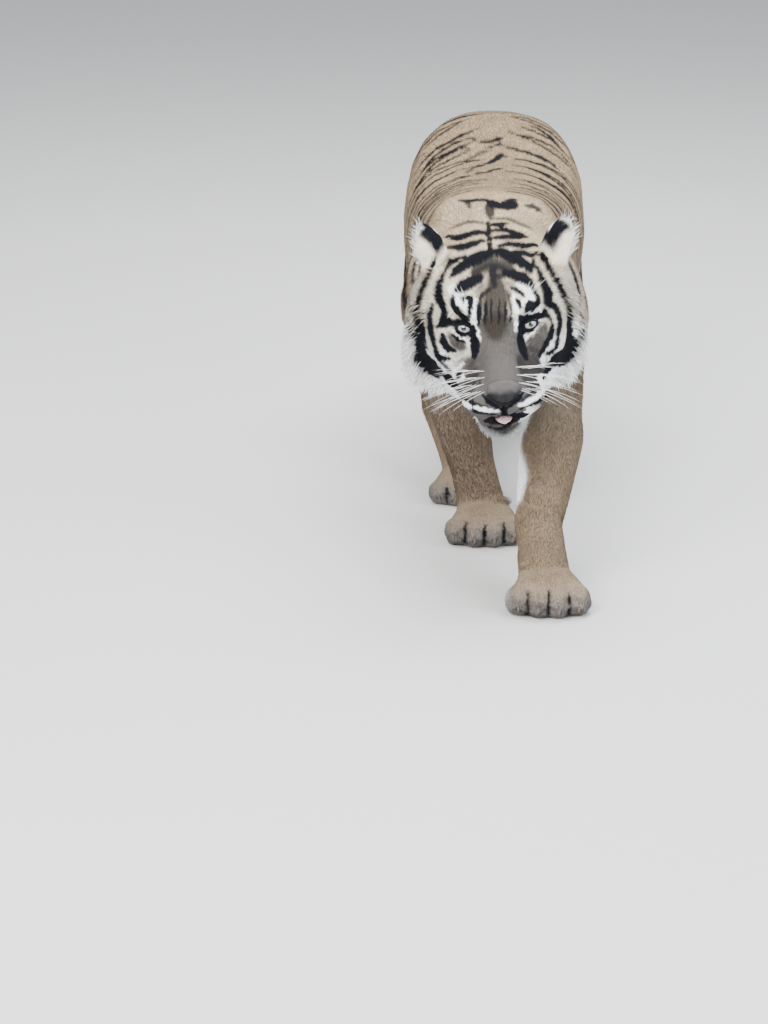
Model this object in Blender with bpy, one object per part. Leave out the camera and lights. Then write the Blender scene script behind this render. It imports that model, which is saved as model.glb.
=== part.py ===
"""A Sumatran tiger, an adult male, as a still life-size model.

It walks with its head low: the left forefoot is planted in front, the right
forefoot is under the chest, the right hind foot has come up close behind it and
the left hind foot is stretched out behind. Units are metres, +Z is up, the tiger
faces -Y and its left side is at +X. The solids reach to the tips of the coat.

The body is modelled whole, from lofted ovals and rounded masses that are grown
into one surface, and is then parted by thin cuts where an anatomist would name
the parts. Places are first given with y = 0 at the front of the left forefoot,
and the finished parts are moved together to stand over the origin.
"""

import math

import bmesh
import bpy
from mathutils import Matrix, Vector

# ------------------------------------------------------------------ driving sizes
GAP = 0.0004            # clearance between neighbouring parts
GRAIN = 0.005           # voxel size of the surface that joins the masses
FILLET = 0.012          # how far the hollows between the masses are filled
FACES_KEPT = 3700       # triangles of the whole body once it is simplified
EAR_FACES = 170         # triangles of one ear
FACE_MIDDLE = (0.0, 0.080, 0.0)     # in the head's frame
FACE_REACH = 0.150
FACE_COARSENESS = 0.75  # share of the simplifying that reaches the face
PAW_MIDDLE = (0.0, 0.050, 0.0)      # in the paw's frame
PAW_REACH = 0.090
PAW_FADE = 0.060
PAW_COARSENESS = 0.85
RING_SIDES = 20         # points round a lofted oval
SPAN_STEPS = 4          # rings between two stations of a loft
WORLD = Matrix.Identity(4)
SIDES = ((1, "left"), (-1, "right"))

# The trunk from the brisket to the buttocks: y, z of the middle, then the half
# width and how far the oval reaches up and down.
TRUNK = [
    (0.32, 0.450, 0.078, 0.095, 0.110),
    (0.36, 0.458, 0.106, 0.125, 0.135),
    (0.43, 0.465, 0.128, 0.146, 0.163),
    (0.52, 0.465, 0.140, 0.156, 0.170),
    (0.65, 0.462, 0.152, 0.142, 0.172),
    (0.80, 0.460, 0.164, 0.137, 0.168),
    (0.95, 0.462, 0.173, 0.141, 0.157),
    (1.08, 0.478, 0.173, 0.144, 0.142),
    (1.20, 0.498, 0.162, 0.140, 0.125),
    (1.30, 0.510, 0.136, 0.122, 0.110),
    (1.37, 0.515, 0.096, 0.094, 0.085),
    (1.41, 0.522, 0.050, 0.052, 0.050),
]
TRUNK_SQUARENESS = 2.6      # 2 is an oval, more is boxier
# The neck, level and thick, from behind the skull into the shoulders.
NECK = [
    (0.20, 0.500, 0.088, 0.075, 0.090),
    (0.28, 0.503, 0.106, 0.092, 0.110),
    (0.36, 0.500, 0.122, 0.108, 0.132),
    (0.44, 0.495, 0.132, 0.124, 0.142),
]
# The tail hangs and turns up at its tip: x, y, z, radius.
TAIL = [
    (0.000, 1.32, 0.560, 0.048),
    (0.000, 1.40, 0.545, 0.042),
    (-0.006, 1.47, 0.475, 0.036),
    (-0.012, 1.52, 0.375, 0.033),
    (-0.016, 1.56, 0.270, 0.031),
    (-0.012, 1.62, 0.180, 0.029),
    (0.002, 1.70, 0.140, 0.027),
    (0.018, 1.79, 0.152, 0.025),
    (0.028, 1.86, 0.200, 0.021),
    (0.030, 1.89, 0.235, 0.013),
]
# Rounded masses of one side of the body: middle, then half sizes.
BODY_MASSES = {
    "haunch": ((0.098, 1.195, 0.475), (0.070, 0.138, 0.136)),
    "buttock": ((0.060, 1.300, 0.450), (0.058, 0.090, 0.115)),
    "flank fold": ((0.100, 1.040, 0.380), (0.050, 0.090, 0.060)),
    "shoulder blade": ((0.068, 0.490, 0.520), (0.056, 0.098, 0.098)),
    "breast": ((0.045, 0.350, 0.405), (0.065, 0.060, 0.085)),
    "neck side": ((0.060, 0.340, 0.500), (0.066, 0.090, 0.086)),
}

# Joints of the legs, x y z, from the body down to the front of the toes.
FORELEGS = {
    "left": {
        "blade": (0.062, 0.500, 0.540),
        "shoulder": (0.110, 0.385, 0.450),
        "elbow": (0.114, 0.345, 0.290),
        "wrist": (0.080, 0.160, 0.115),
        "toes": (0.0965, 0.000, 0.000),
        "fences": [((0.045, 0, 0.300), (-0.30, 0, 0.045)), ((0, 0.44, 0), (0, 1, 0)),
                   ((0, 0.300, 0.335), (0, 0.25, 0.97))],
    },
    "right": {
        "blade": (-0.064, 0.505, 0.550),
        "shoulder": (-0.114, 0.400, 0.455),
        "elbow": (-0.078, 0.520, 0.310),
        "wrist": (-0.030, 0.500, 0.110),
        "toes": (-0.011, 0.385, 0.000),
        "fences": [((0.045, 0, 0.310), (0.31, 0, 0.033)), ((0, 0.35, 0), (0, -1, 0)),
                   ((0, 0.61, 0), (0, 1, 0))],
    },
}
HIND_LEGS = {
    "left": {
        "hip": (0.084, 1.190, 0.470),
        "knee": (0.122, 1.095, 0.305),
        "hock": (0.090, 1.325, 0.175),
        "toes": (0.072, 1.165, 0.000),
        "fences": [((0.0, 0, 0), (-1, 0, 0)), ((0, 1.00, 0), (0, -1, 0)),
                   ((0, 1.42, 0), (0, 1, 0)), ((0, 1.10, 0.345), (0, 0.07, 0.30))],
    },
    "right": {
        "hip": (-0.084, 1.165, 0.470),
        "knee": (-0.118, 0.965, 0.345),
        "hock": (-0.100, 0.920, 0.128),
        "toes": (-0.050, 0.640, 0.000),
        "fences": [((-0.05, 0, 0.290), (0.29, 0, 0.08)), ((0, 0.61, 0), (0, -1, 0)),
                   ((0, 1.10, 0), (0, 1, 0)), ((0, 0.80, 0.288), (0, -0.26, 1))],
    },
}
# Along each part of a leg: how far down it, its half width, then how far the oval
# reaches back and forward.
SHOULDER = [
    (0.00, 0.034, 0.055, 0.055),
    (0.50, 0.052, 0.088, 0.080),
]
UPPER_ARM = [
    (0.00, 0.062, 0.078, 0.076),
    (0.35, 0.063, 0.080, 0.068),
    (0.70, 0.059, 0.074, 0.060),
]
FOREARM = [
    (0.00, 0.057, 0.064, 0.056),
    (0.25, 0.058, 0.058, 0.056),
    (0.60, 0.051, 0.048, 0.048),
    (0.88, 0.043, 0.041, 0.041),
    (1.00, 0.042, 0.040, 0.040),
]
THIGH = [
    (0.00, 0.070, 0.125, 0.115),
    (0.35, 0.073, 0.120, 0.108),
    (0.75, 0.064, 0.092, 0.078),
]
SHANK = [
    (0.00, 0.056, 0.074, 0.060),
    (0.35, 0.048, 0.060, 0.052),
    (0.75, 0.037, 0.044, 0.040),
]
HIND_FOOT = [
    (0.00, 0.037, 0.042, 0.038),
    (0.40, 0.036, 0.036, 0.037),
    (1.00, 0.040, 0.036, 0.034),
]
FORE_PAW_TOP = (0.044, 0.038, 0.036)

# The paw, from the front of its middle toes on the ground: x across, y back, z up.
TOES = [
    ((0.0500, 0.050, 0.0215), (0.0240, 0.039, 0.0260)),
    ((0.0175, 0.035, 0.0225), (0.0210, 0.038, 0.0275)),
]
PAW_MASSES = [
    ((0.0, 0.084, 0.034), (0.058, 0.048, 0.034)),
    ((0.0, 0.110, 0.020), (0.044, 0.032, 0.026)),
]
FOREFOOT_BALL = (-0.006, 0.106, 0.052)
HINDFOOT_BALL = (0.0, 0.110, 0.046)
HIND_PAW_SCALE = 0.92

# The head has its own frame: origin at the tip of the nose, +X its left, +Y back
# along the palate, +Z up. It is turned down, a little to its left, and tilted.
NOSE_TIP = (0.0195, 0.0, 0.385)
HEAD_TURNS = {"Z": 4.5, "X": 15.0, "Y": -3.4}
# Skull and jaw: y, z of the middle, half width, half height.
SKULL = [
    (0.010, 0.001, 0.026, 0.020),
    (0.030, 0.006, 0.032, 0.028),
    (0.060, 0.009, 0.035, 0.031),
    (0.092, 0.015, 0.038, 0.034),
    (0.125, 0.028, 0.046, 0.038),
    (0.155, 0.045, 0.060, 0.048),
    (0.190, 0.056, 0.077, 0.058),
    (0.235, 0.060, 0.089, 0.066),
    (0.290, 0.055, 0.092, 0.073),
]
JAW = [
    (0.036, -0.078, 0.038, 0.024),
    (0.075, -0.074, 0.050, 0.032),
    (0.130, -0.066, 0.066, 0.038),
    (0.200, -0.052, 0.082, 0.052),
]
MIDLINE_MASSES = [
    ((0.0, 0.047, -0.080), (0.044, 0.031, 0.026)),
    ((0.0, 0.060, -0.018), (0.047, 0.050, 0.037)),
    ((0.0, 0.262, 0.066), (0.080, 0.082, 0.063)),
]
# Rounded masses of one side of the head: middle, then half sizes.
HEAD_MASSES = {
    "whisker pad": ((0.034, 0.045, -0.026), (0.0365, 0.040, 0.034)),
    "upper lip": ((0.044, 0.090, -0.028), (0.034, 0.052, 0.032)),
    "under the eye": ((0.052, 0.135, 0.004), (0.036, 0.050, 0.036)),
    "cheek": ((0.060, 0.160, -0.030), (0.048, 0.070, 0.050)),
    "cheekbone": ((0.074, 0.188, 0.010), (0.050, 0.062, 0.052)),
    "jaw muscle": ((0.082, 0.222, -0.020), (0.060, 0.066, 0.072)),
    "brow": ((0.043, 0.150, 0.078), (0.027, 0.024, 0.013)),
    "temple": ((0.052, 0.225, 0.066), (0.054, 0.072, 0.050)),
    "upper ruff": ((0.090, 0.238, 0.040), (0.056, 0.052, 0.076)),
    "lower ruff": ((0.100, 0.230, -0.034), (0.064, 0.052, 0.086)),
    "throat": ((0.040, 0.220, -0.068), (0.058, 0.080, 0.055)),
}
EYE_MIDDLE = (0.0525, 0.145, 0.049)
EYE_RADIUS = 0.0148
EYE_OPENING = (0.0180, 0.030, 0.0105)
GAZE_TURNS = {"Z": 12.0, "X": -24.0}
NOSE_LEATHER = ((0.0, 0.004, 0.003), (0.0295, 0.014, 0.0195))
NOSE_TAPER = 0.5
MOUTH_HEIGHT = -0.0535
MOUTH_DEPTH = 0.118
TONGUE = ((0.0, 0.050, -0.0530), (0.0185, 0.030, 0.0042))

# An ear is a cup on the corner of the crown: an oval mass with a smaller one taken
# out of its mouth, which is turned outwards and a little back. The left ear is held
# further out and lower.
EAR_ROOTS = {"left": (0.102, 0.268, 0.099), "right": (0.088, 0.268, 0.104)}
EAR_TURNS = {"Z": 112.0, "X": 28.0}
EAR_SHELL = ((0.0, 0.000, 0.036), (0.046, 0.029, 0.052))
EAR_HOLLOW = ((0.0, -0.024, 0.046), (0.036, 0.034, 0.044))
EAR_GRAIN = 0.003

# How far along its bone each part of a leg ends.
WRIST_SHARE = 0.30
ELBOW_SHARE = 0.22
KNEE_SHARE = 0.35
HOCK_SHARE = 0.12
HIND_PAW_SHARE = 0.80

# Planes that part the body: a point on each and the way out of the part. Those of a
# limb are the left one's, with y counted from its shoulder or hip.
HEAD_PLANES = [
    ((0, 0.262, 0.320), (0, 0.988, -0.152)),
    ((0, 0.260, 0.316), (0, 0.182, -0.983)),
]
NECK_PLANES = [((0, 0.380, 0.500), (0, 0.954, -0.298))]
UPPER_ARM_PLANES = [
    ((0.035, 0, 0.270), (-0.230, 0, 0.120)),
    ((0, 0.175, 0), (0, 1, 0)),
]
UPPER_ARM_FRONT = 0.095     # ahead of its shoulder or elbow
THIGH_PLANES = [
    ((0.030, 0, 0.310), (-0.260, 0, 0.130)),
    ((0, -0.130, 0.470), (0, -0.894, -0.447)),
]
ABOVE_FEET = ((0, 0, 0.220), (0, 0, 1))
TAIL_PLANES = {
    "tail_tip": [((0, 1.69, 0), (0, -1, 0))],
    "tail_middle": [((0, 1.47, 0.390), (0, -0.400, 0.917)), ((0, 1.43, 0), (0, -1, 0))],
    "tail_base": [((0, 1.415, 0.530), (0, -0.707, 0.707)), ((0, 1.395, 0), (0, -1, 0))],
}

# A claw is a short bent cone in the front of a toe: its place on the toe, then how
# its radius falls along its length.
CLAW_PLACE = (0.0, -0.0255, 0.002)
CLAW_RADII = [0.0040, 0.0034, 0.0023, 0.0008]
CLAW_LENGTH = 0.020
CLAW_BEND = 50.0
CLAW_SIDES = 5
DEWCLAW_SHARE = 0.62
DEWCLAW_PLACE = (0.044, 0.125, 0.066)

FINISHES = {
    "tan coat": ((0.520, 0.300, 0.140), 0.85),
    "white coat": ((0.780, 0.760, 0.700), 0.85),
    "black coat": ((0.030, 0.028, 0.030), 0.85),
    "nose leather": ((0.160, 0.120, 0.125), 0.45),
    "tongue": ((0.550, 0.300, 0.300), 0.40),
    "eye": ((0.330, 0.360, 0.300), 0.08),
    "claw": ((0.420, 0.380, 0.320), 0.35),
}


# ------------------------------------------------------------------ plain tools
def clear_scene():
    """Empties the file that Blender starts with."""
    for obj in list(bpy.data.objects):
        bpy.data.objects.remove(obj)


def new_object(name, work):
    """Makes an object of a bmesh, which it frees."""
    mesh = bpy.data.meshes.new(name)
    work.to_mesh(mesh)
    work.free()
    obj = bpy.data.objects.new(name, mesh)
    bpy.context.collection.objects.link(obj)
    return obj


def copy_object(obj, name):
    """A second object with a mesh of its own."""
    copy = bpy.data.objects.new(name, obj.data.copy())
    bpy.context.collection.objects.link(copy)
    return copy


def apply_modifiers(obj):
    """Keeps what the object's modifiers show as its own mesh."""
    depsgraph = bpy.context.evaluated_depsgraph_get()
    mesh = bpy.data.meshes.new_from_object(obj.evaluated_get(depsgraph))
    obj.modifiers.clear()
    obj.data = mesh


def finish(obj, name, finish_name):
    """Names a part and gives it a material of its own."""
    obj.name = name
    colour, roughness = FINISHES[finish_name]
    material = bpy.data.materials.new(name)
    material.use_nodes = True
    shader = material.node_tree.nodes["Principled BSDF"]
    shader.inputs["Base Color"].default_value = (*colour, 1.0)
    shader.inputs["Roughness"].default_value = roughness
    shader.inputs["Metallic"].default_value = 0.0
    obj.data.materials.clear()
    obj.data.materials.append(material)
    return obj


def turned(origin, turns):
    """A frame at origin, turned by the named angles in their order."""
    frame = Matrix.Translation(origin)
    for axis, degrees in turns.items():
        frame = frame @ Matrix.Rotation(math.radians(degrees), 4, axis)
    return frame


def mirrored(vector, side):
    """The same place on the left (side 1) or the right (side -1)."""
    return Vector((vector[0] * side, vector[1], vector[2]))


def ellipsoid(work, frame, middle, half_sizes, level=3):
    """Adds a rounded mass to the bmesh."""
    matrix = frame @ Matrix.Translation(middle) @ Matrix.Diagonal((*half_sizes, 1.0))
    return bmesh.ops.create_icosphere(work, subdivisions=level, radius=1.0, matrix=matrix)


def rounded(name, frame, middle, half_sizes, level=3, grown=0.0):
    """A rounded mass as an object, grown all round where it is a cutter."""
    work = bmesh.new()
    sizes = [size + grown for size in half_sizes]
    ellipsoid(work, frame, middle, sizes, level)
    return new_object(name, work)


def smooth_path(stations):
    """Catmull-Rom points through rows of numbers, SPAN_STEPS to each span."""
    path = []
    last = len(stations) - 1
    for index in range(last):
        rows = [stations[max(index - 1, 0)], stations[index],
                stations[index + 1], stations[min(index + 2, last)]]
        for step in range(SPAN_STEPS):
            t = step / SPAN_STEPS
            weights = (
                (-t + 2 * t ** 2 - t ** 3) / 2,
                (2 - 5 * t ** 2 + 3 * t ** 3) / 2,
                (t + 4 * t ** 2 - 3 * t ** 3) / 2,
                (t ** 3 - t ** 2) / 2,
            )
            path.append([sum(w * row[k] for w, row in zip(weights, rows))
                         for k in range(len(rows[0]))])
    path.append(list(stations[last]))
    return path


def loft(work, stations, frame=WORLD, squareness=2.0):
    """Adds a closed body through stations of x, y, z, half width, reach, reach.

    Each oval stands square to the path. Its first reach is upwards on a body that
    runs back, and backwards on a leg that runs down; the second is the other way.
    """
    path = smooth_path(stations)
    middles = [Vector(row[:3]) for row in path]
    rings = []
    for index, row in enumerate(path):
        ahead = middles[min(index + 1, len(path) - 1)]
        behind = middles[max(index - 1, 0)]
        along = (ahead - behind).normalized()
        across = (Vector((1, 0, 0)) - along * along.x).normalized()
        rise = across.cross(along)
        at_end = index in (0, len(path) - 1)
        ring = bmesh.ops.create_circle(work, cap_ends=at_end, segments=RING_SIDES, radius=1.0)
        for vert in ring["verts"]:
            u, v = (math.copysign(abs(part) ** (2 / squareness), part) for part in vert.co.xy)
            reach = row[4] if v > 0 else row[5]
            vert.co = frame @ (middles[index] + across * u * row[3] + rise * v * reach)
        rings.append(list({edge for vert in ring["verts"] for edge in vert.link_edges}))
    for ring, following in zip(rings, rings[1:]):
        bmesh.ops.bridge_loops(work, edges=ring + following)


def combine(obj, other, operation):
    """Cuts the object by the other one, or keeps what they share."""
    boolean = obj.modifiers.new("cut", "BOOLEAN")
    boolean.operation = operation
    boolean.solver = "EXACT"
    boolean.object = other
    apply_modifiers(obj)
    bpy.data.objects.remove(other)


def region(planes, grown=0.0):
    """What lies behind every plane, each a point and the way out, within 6 m."""
    work = bmesh.new()
    bmesh.ops.create_cube(work, size=6.0)
    for point, outward in planes:
        outward = Vector(outward).normalized()
        geometry = work.verts[:] + work.edges[:] + work.faces[:]
        cut = bmesh.ops.bisect_plane(work, geom=geometry, plane_co=Vector(point) + outward * grown,
                                     plane_no=outward, clear_outer=True)
        edges = [item for item in cut["geom_cut"] if isinstance(item, bmesh.types.BMEdge)]
        bmesh.ops.contextual_create(work, geom=edges)
    bmesh.ops.recalc_face_normals(work, faces=work.faces)
    return new_object("cutter", work)


def carve(body, name, planes):
    """Parts what lies behind the planes from the body, leaving a thin gap."""
    piece = copy_object(body, name)
    combine(piece, region(planes), "INTERSECT")
    combine(body, region(planes, GAP), "DIFFERENCE")
    return piece


def weigh(obj, name, rule):
    """Marks every point of the object with the weight that the rule gives it."""
    group = obj.vertex_groups.new(name=name)
    for vert in obj.data.vertices:
        group.add([vert.index], rule(vert.co), "REPLACE")


# ------------------------------------------------------------------ the body whole
def head_frame():
    return turned(NOSE_TIP, HEAD_TURNS)


def paw_frame(joints, scale):
    return Matrix.Translation(joints["toes"]) @ Matrix.Scale(scale, 4)


def paws():
    """Every paw: its name, its frame and its leg's joints."""
    for legs, prefix, scale in ((FORELEGS, "fore", 1.0), (HIND_LEGS, "hind", HIND_PAW_SCALE)):
        for side, joints in legs.items():
            yield f"{prefix}_paw_{side}", paw_frame(joints, scale), joints


def centred(rows):
    """Stations on the body's midline, from rows that leave x out."""
    return [(0, *row) for row in rows]


def limb_rows(start, end, profile):
    """Stations of a loft along one bone."""
    start, end = Vector(start), Vector(end)
    return [(*start.lerp(end, share), width, back, front)
            for share, width, back, front in profile]


def add_head(work):
    """Skull, jaws, cheeks and ruff."""
    frame = head_frame()
    for rows in (SKULL, JAW):
        loft(work, centred([(*row, row[-1]) for row in rows]), frame)
    for middle, half_sizes in MIDLINE_MASSES:
        ellipsoid(work, frame, middle, half_sizes)
    for middle, half_sizes in HEAD_MASSES.values():
        for side in (1, -1):
            ellipsoid(work, frame, mirrored(middle, side), half_sizes)


def add_paw(work, frame):
    """Four toes, the knuckles over them and the pad behind them."""
    for middle, half_sizes in TOES:
        for side in (1, -1):
            ellipsoid(work, frame, mirrored(middle, side), half_sizes)
    for middle, half_sizes in PAW_MASSES:
        ellipsoid(work, frame, middle, half_sizes)


def add_foreleg(work, joints, frame):
    """Shoulder blade, upper arm, forearm and the top of the paw."""
    ball = frame @ Vector(FOREFOOT_BALL)
    rows = limb_rows(joints["blade"], joints["shoulder"], SHOULDER)
    rows += limb_rows(joints["shoulder"], joints["elbow"], UPPER_ARM)
    rows += limb_rows(joints["elbow"], joints["wrist"], FOREARM)
    rows += [(*ball, *FORE_PAW_TOP)]
    loft(work, rows)


def add_hind_leg(work, joints, frame):
    """Thigh, shank and the long hind foot."""
    ball = frame @ Vector(HINDFOOT_BALL)
    rows = limb_rows(joints["hip"], joints["knee"], THIGH)
    rows += limb_rows(joints["knee"], joints["hock"], SHANK)
    rows += limb_rows(joints["hock"], ball, HIND_FOOT)
    loft(work, rows)


def away_from_paws(point):
    """0 in the paws, rising to 1 above the wrists and hocks."""
    nearest = min((point - frame @ Vector(PAW_MIDDLE)).length for _, frame, _ in paws())
    return min(max((nearest - PAW_REACH) / PAW_FADE, 0.0), 1.0)


def coarseness(point):
    """How freely the surface may be simplified: the head and paws least."""
    from_face = (point - head_frame() @ Vector(FACE_MIDDLE)).length
    head = min(max((from_face - FACE_REACH) / FACE_REACH, FACE_COARSENESS), 1.0)
    return min(head, max(away_from_paws(point), PAW_COARSENESS))


def whole_body():
    """All the masses grown into one surface, its hollows filled, simplified."""
    work = bmesh.new()
    loft(work, centred(TRUNK), squareness=TRUNK_SQUARENESS)
    loft(work, centred(NECK))
    loft(work, [(x, y, z, radius, radius, radius) for x, y, z, radius in TAIL])
    for middle, half_sizes in BODY_MASSES.values():
        for side in (1, -1):
            ellipsoid(work, WORLD, mirrored(middle, side), half_sizes)
    add_head(work)
    for name, frame, joints in paws():
        add_paw(work, frame)
        if name.startswith("fore"):
            add_foreleg(work, joints, frame)
        else:
            add_hind_leg(work, joints, frame)
    body = new_object("body", work)

    for swell in (0.0, FILLET, -FILLET):
        if swell:
            body.vertex_groups.clear()
            weigh(body, "swell", away_from_paws)
            displace = body.modifiers.new("swell", "DISPLACE")
            displace.strength = swell
            displace.mid_level = 0.0
            displace.vertex_group = "swell"
        remesh = body.modifiers.new("grow together", "REMESH")
        remesh.mode = "VOXEL"
        remesh.voxel_size = GRAIN
        smooth = body.modifiers.new("smooth", "SMOOTH")
        smooth.factor = 0.5
        smooth.iterations = 4
        apply_modifiers(body)

    weigh(body, "coarse", coarseness)
    decimate = body.modifiers.new("simplify", "DECIMATE")
    decimate.ratio = FACES_KEPT / sum(len(face.vertices) - 2 for face in body.data.polygons)
    decimate.vertex_group = "coarse"
    apply_modifiers(body)
    body.vertex_groups.clear()
    combine(body, region([((0, 0, 0), (0, 0, 1))]), "DIFFERENCE")
    return body


# ------------------------------------------------------------------ small parts
def make_eye(side, grown=0.0):
    """The eyeball."""
    work = bmesh.new()
    place = head_frame() @ Matrix.Translation(mirrored(EYE_MIDDLE, side))
    bmesh.ops.create_uvsphere(work, u_segments=12, v_segments=8, radius=EYE_RADIUS + grown,
                              matrix=place @ Matrix.Rotation(math.pi / 2, 4, "X"))
    return new_object("eye", work)


def open_socket(head, side):
    """A socket round the eyeball, and the slit between the lids in front of it."""
    combine(head, make_eye(side, 1.5 * GAP), "DIFFERENCE")
    middle = mirrored(EYE_MIDDLE, side)
    gaze = {axis: degrees * (side if axis == "Z" else 1) for axis, degrees in GAZE_TURNS.items()}
    front = Vector((0, -EYE_OPENING[1], 0))
    slit = rounded("slit", head_frame() @ turned(middle, gaze), front, EYE_OPENING, 2)
    combine(head, slit, "DIFFERENCE")


def make_nose(grown=0.0):
    """The bare leather of the nose, which narrows downwards."""
    frame = head_frame()
    nose = rounded("nose", WORLD, (0, 0, 0), NOSE_LEATHER[1], 2, grown)
    for vert in nose.data.vertices:
        if vert.co.z < 0:
            vert.co.x *= 1 + NOSE_TAPER * vert.co.z / NOSE_LEATHER[1][2]
        vert.co = frame @ (vert.co + Vector(NOSE_LEATHER[0]))
    return nose


def make_ear(side, word, head):
    """A cupped ear, its root shaped to the head."""
    flip = Matrix.Diagonal((side, 1, 1, 1))
    frame = head_frame() @ flip @ turned(EAR_ROOTS[word], EAR_TURNS)
    ear = rounded("ear", frame, *EAR_SHELL)
    hollow = rounded("hollow", frame, *EAR_HOLLOW)
    for obj in (ear, hollow):
        if side < 0:
            obj.data.flip_normals()
    combine(ear, hollow, "DIFFERENCE")
    remesh = ear.modifiers.new("round the rim", "REMESH")
    remesh.mode = "VOXEL"
    remesh.voxel_size = EAR_GRAIN
    smooth = ear.modifiers.new("smooth", "SMOOTH")
    smooth.iterations = 3
    apply_modifiers(ear)
    decimate = ear.modifiers.new("simplify", "DECIMATE")
    decimate.ratio = EAR_FACES / (2 * len(ear.data.polygons))
    apply_modifiers(ear)
    grown_head = copy_object(head, "grown head")
    displace = grown_head.modifiers.new("grow", "DISPLACE")
    displace.strength = 2 * GAP
    displace.mid_level = 0.0
    apply_modifiers(grown_head)
    combine(ear, grown_head, "DIFFERENCE")
    return ear


def make_claw(frame, scale, grown=0.0):
    """A short bent cone, pointing forwards and down."""
    work = bmesh.new()
    step = CLAW_LENGTH * scale / (len(CLAW_RADII) - 1)
    spot = frame.copy()
    rings = []
    for index, radius in enumerate(CLAW_RADII):
        at_end = index in (0, len(CLAW_RADII) - 1)
        matrix = spot @ Matrix.Rotation(math.pi / 2, 4, "X")
        ring = bmesh.ops.create_circle(work, cap_ends=at_end, segments=CLAW_SIDES,
                                       radius=radius * scale + grown, matrix=matrix)
        rings.append(list({edge for vert in ring["verts"] for edge in vert.link_edges}))
        spot = spot @ Matrix.Rotation(math.radians(CLAW_BEND / len(CLAW_RADII)), 4, "X")
        spot = spot @ Matrix.Translation((0, -step, 0))
    for ring, following in zip(rings, rings[1:]):
        bmesh.ops.bridge_loops(work, edges=ring + following)
    bmesh.ops.recalc_face_normals(work, faces=work.faces)
    return new_object("claw", work)


def set_claws(paw, frame, inner_side):
    """Sets a claw in the front of each toe, and the dewclaw of a forefoot."""
    claws = []
    places = [(mirrored(middle, side), 1.0) for middle, _ in TOES for side in (1, -1)]
    if inner_side:
        places.append((mirrored(DEWCLAW_PLACE, inner_side), DEWCLAW_SHARE))
    for place, scale in places:
        spot = frame @ Matrix.Translation(place + Vector(CLAW_PLACE))
        combine(paw, make_claw(spot, scale, GAP), "DIFFERENCE")
        claws.append(make_claw(spot, scale))
    return claws


# ------------------------------------------------------------------ parting it
def across_bone(start, end, share, fences):
    """Planes of what lies beyond a place on the bone from start to end."""
    start, end = Vector(start), Vector(end)
    return [(start.lerp(end, share), start - end)] + fences


def beside_trunk(planes, joint, side):
    """The planes that part a limb from the trunk, set at its upper joint."""
    return [((x * side, y + joint[1] if y else 0, z), (nx * side, ny, nz))
            for (x, y, z), (nx, ny, nz) in planes]


def part_foreleg(body, side, word):
    """Paw, forearm and upper arm with the shoulder."""
    joints = FORELEGS[word]
    fences = joints["fences"]
    frame = paw_frame(joints, 1.0)
    ball = frame @ Vector(FOREFOOT_BALL)
    paw = carve(body, "paw", across_bone(joints["wrist"], ball, WRIST_SHARE, fences + [ABOVE_FEET]))
    for index, claw in enumerate(set_claws(paw, frame, -side)):
        finish(claw, f"fore_claw_{word}_{index + 1}", "claw")
    finish(paw, f"fore_paw_{word}", "tan coat")
    forearm = carve(body, "forearm",
                    across_bone(joints["elbow"], joints["wrist"], ELBOW_SHARE, fences))
    finish(forearm, f"forearm_{word}", "tan coat")


def part_hind_leg(body, side, word):
    """Paw, long foot, shank and thigh."""
    joints = HIND_LEGS[word]
    fences = joints["fences"]
    frame = paw_frame(joints, HIND_PAW_SCALE)
    ball = frame @ Vector(HINDFOOT_BALL)
    paw = carve(body, "paw", across_bone(joints["hock"], ball, HIND_PAW_SHARE,
                                            fences + [ABOVE_FEET]))
    for index, claw in enumerate(set_claws(paw, frame, 0)):
        finish(claw, f"hind_claw_{word}_{index + 1}", "claw")
    finish(paw, f"hind_paw_{word}", "tan coat")
    foot = carve(body, "foot", across_bone(joints["hock"], ball, HOCK_SHARE,
                                             fences + [ABOVE_FEET]))
    finish(foot, f"hind_foot_{word}", "tan coat")
    shank = carve(body, "shank", across_bone(joints["knee"], joints["hock"], KNEE_SHARE, fences))
    finish(shank, f"shank_{word}", "tan coat")


def part_head(body):
    """Head, lower jaw, nose, tongue, eyes and ears."""
    frame = head_frame()
    head = carve(body, "head", HEAD_PLANES)
    nose = make_nose()
    combine(head, make_nose(GAP), "DIFFERENCE")
    tongue = rounded("tongue", frame, *TONGUE, 2)
    combine(head, rounded("cutter", frame, *TONGUE, 2, GAP), "DIFFERENCE")
    jaw = carve(head, "jaw", [
        (frame @ Vector((0, 0, MOUTH_HEIGHT)), frame.to_3x3() @ Vector((0, 0, 1))),
        (frame @ Vector((0, MOUTH_DEPTH, 0)), frame.to_3x3() @ Vector((0, 1, 0))),
    ])
    for side, word in SIDES:
        open_socket(head, side)
        finish(make_eye(side), f"eye_{word}", "eye")
        finish(make_ear(side, word, head), f"ear_{word}", "black coat")
    finish(head, "head", "tan coat")
    finish(jaw, "lower_jaw", "white coat")
    finish(nose, "nose", "nose leather")
    finish(tongue, "tongue", "tongue")


def stand_over_origin():
    """Moves every part together, the middle of their box over the origin."""
    objects = [obj for obj in bpy.data.objects if obj.type == "MESH"]
    corners = [vert.co for obj in objects for vert in obj.data.vertices]
    low = Vector(min(corner[axis] for corner in corners) for axis in range(3))
    high = Vector(max(corner[axis] for corner in corners) for axis in range(3))
    shift = Vector((-(low.x + high.x) / 2, -(low.y + high.y) / 2, -low.z))
    for obj in objects:
        obj.data.transform(Matrix.Translation(shift))


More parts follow.
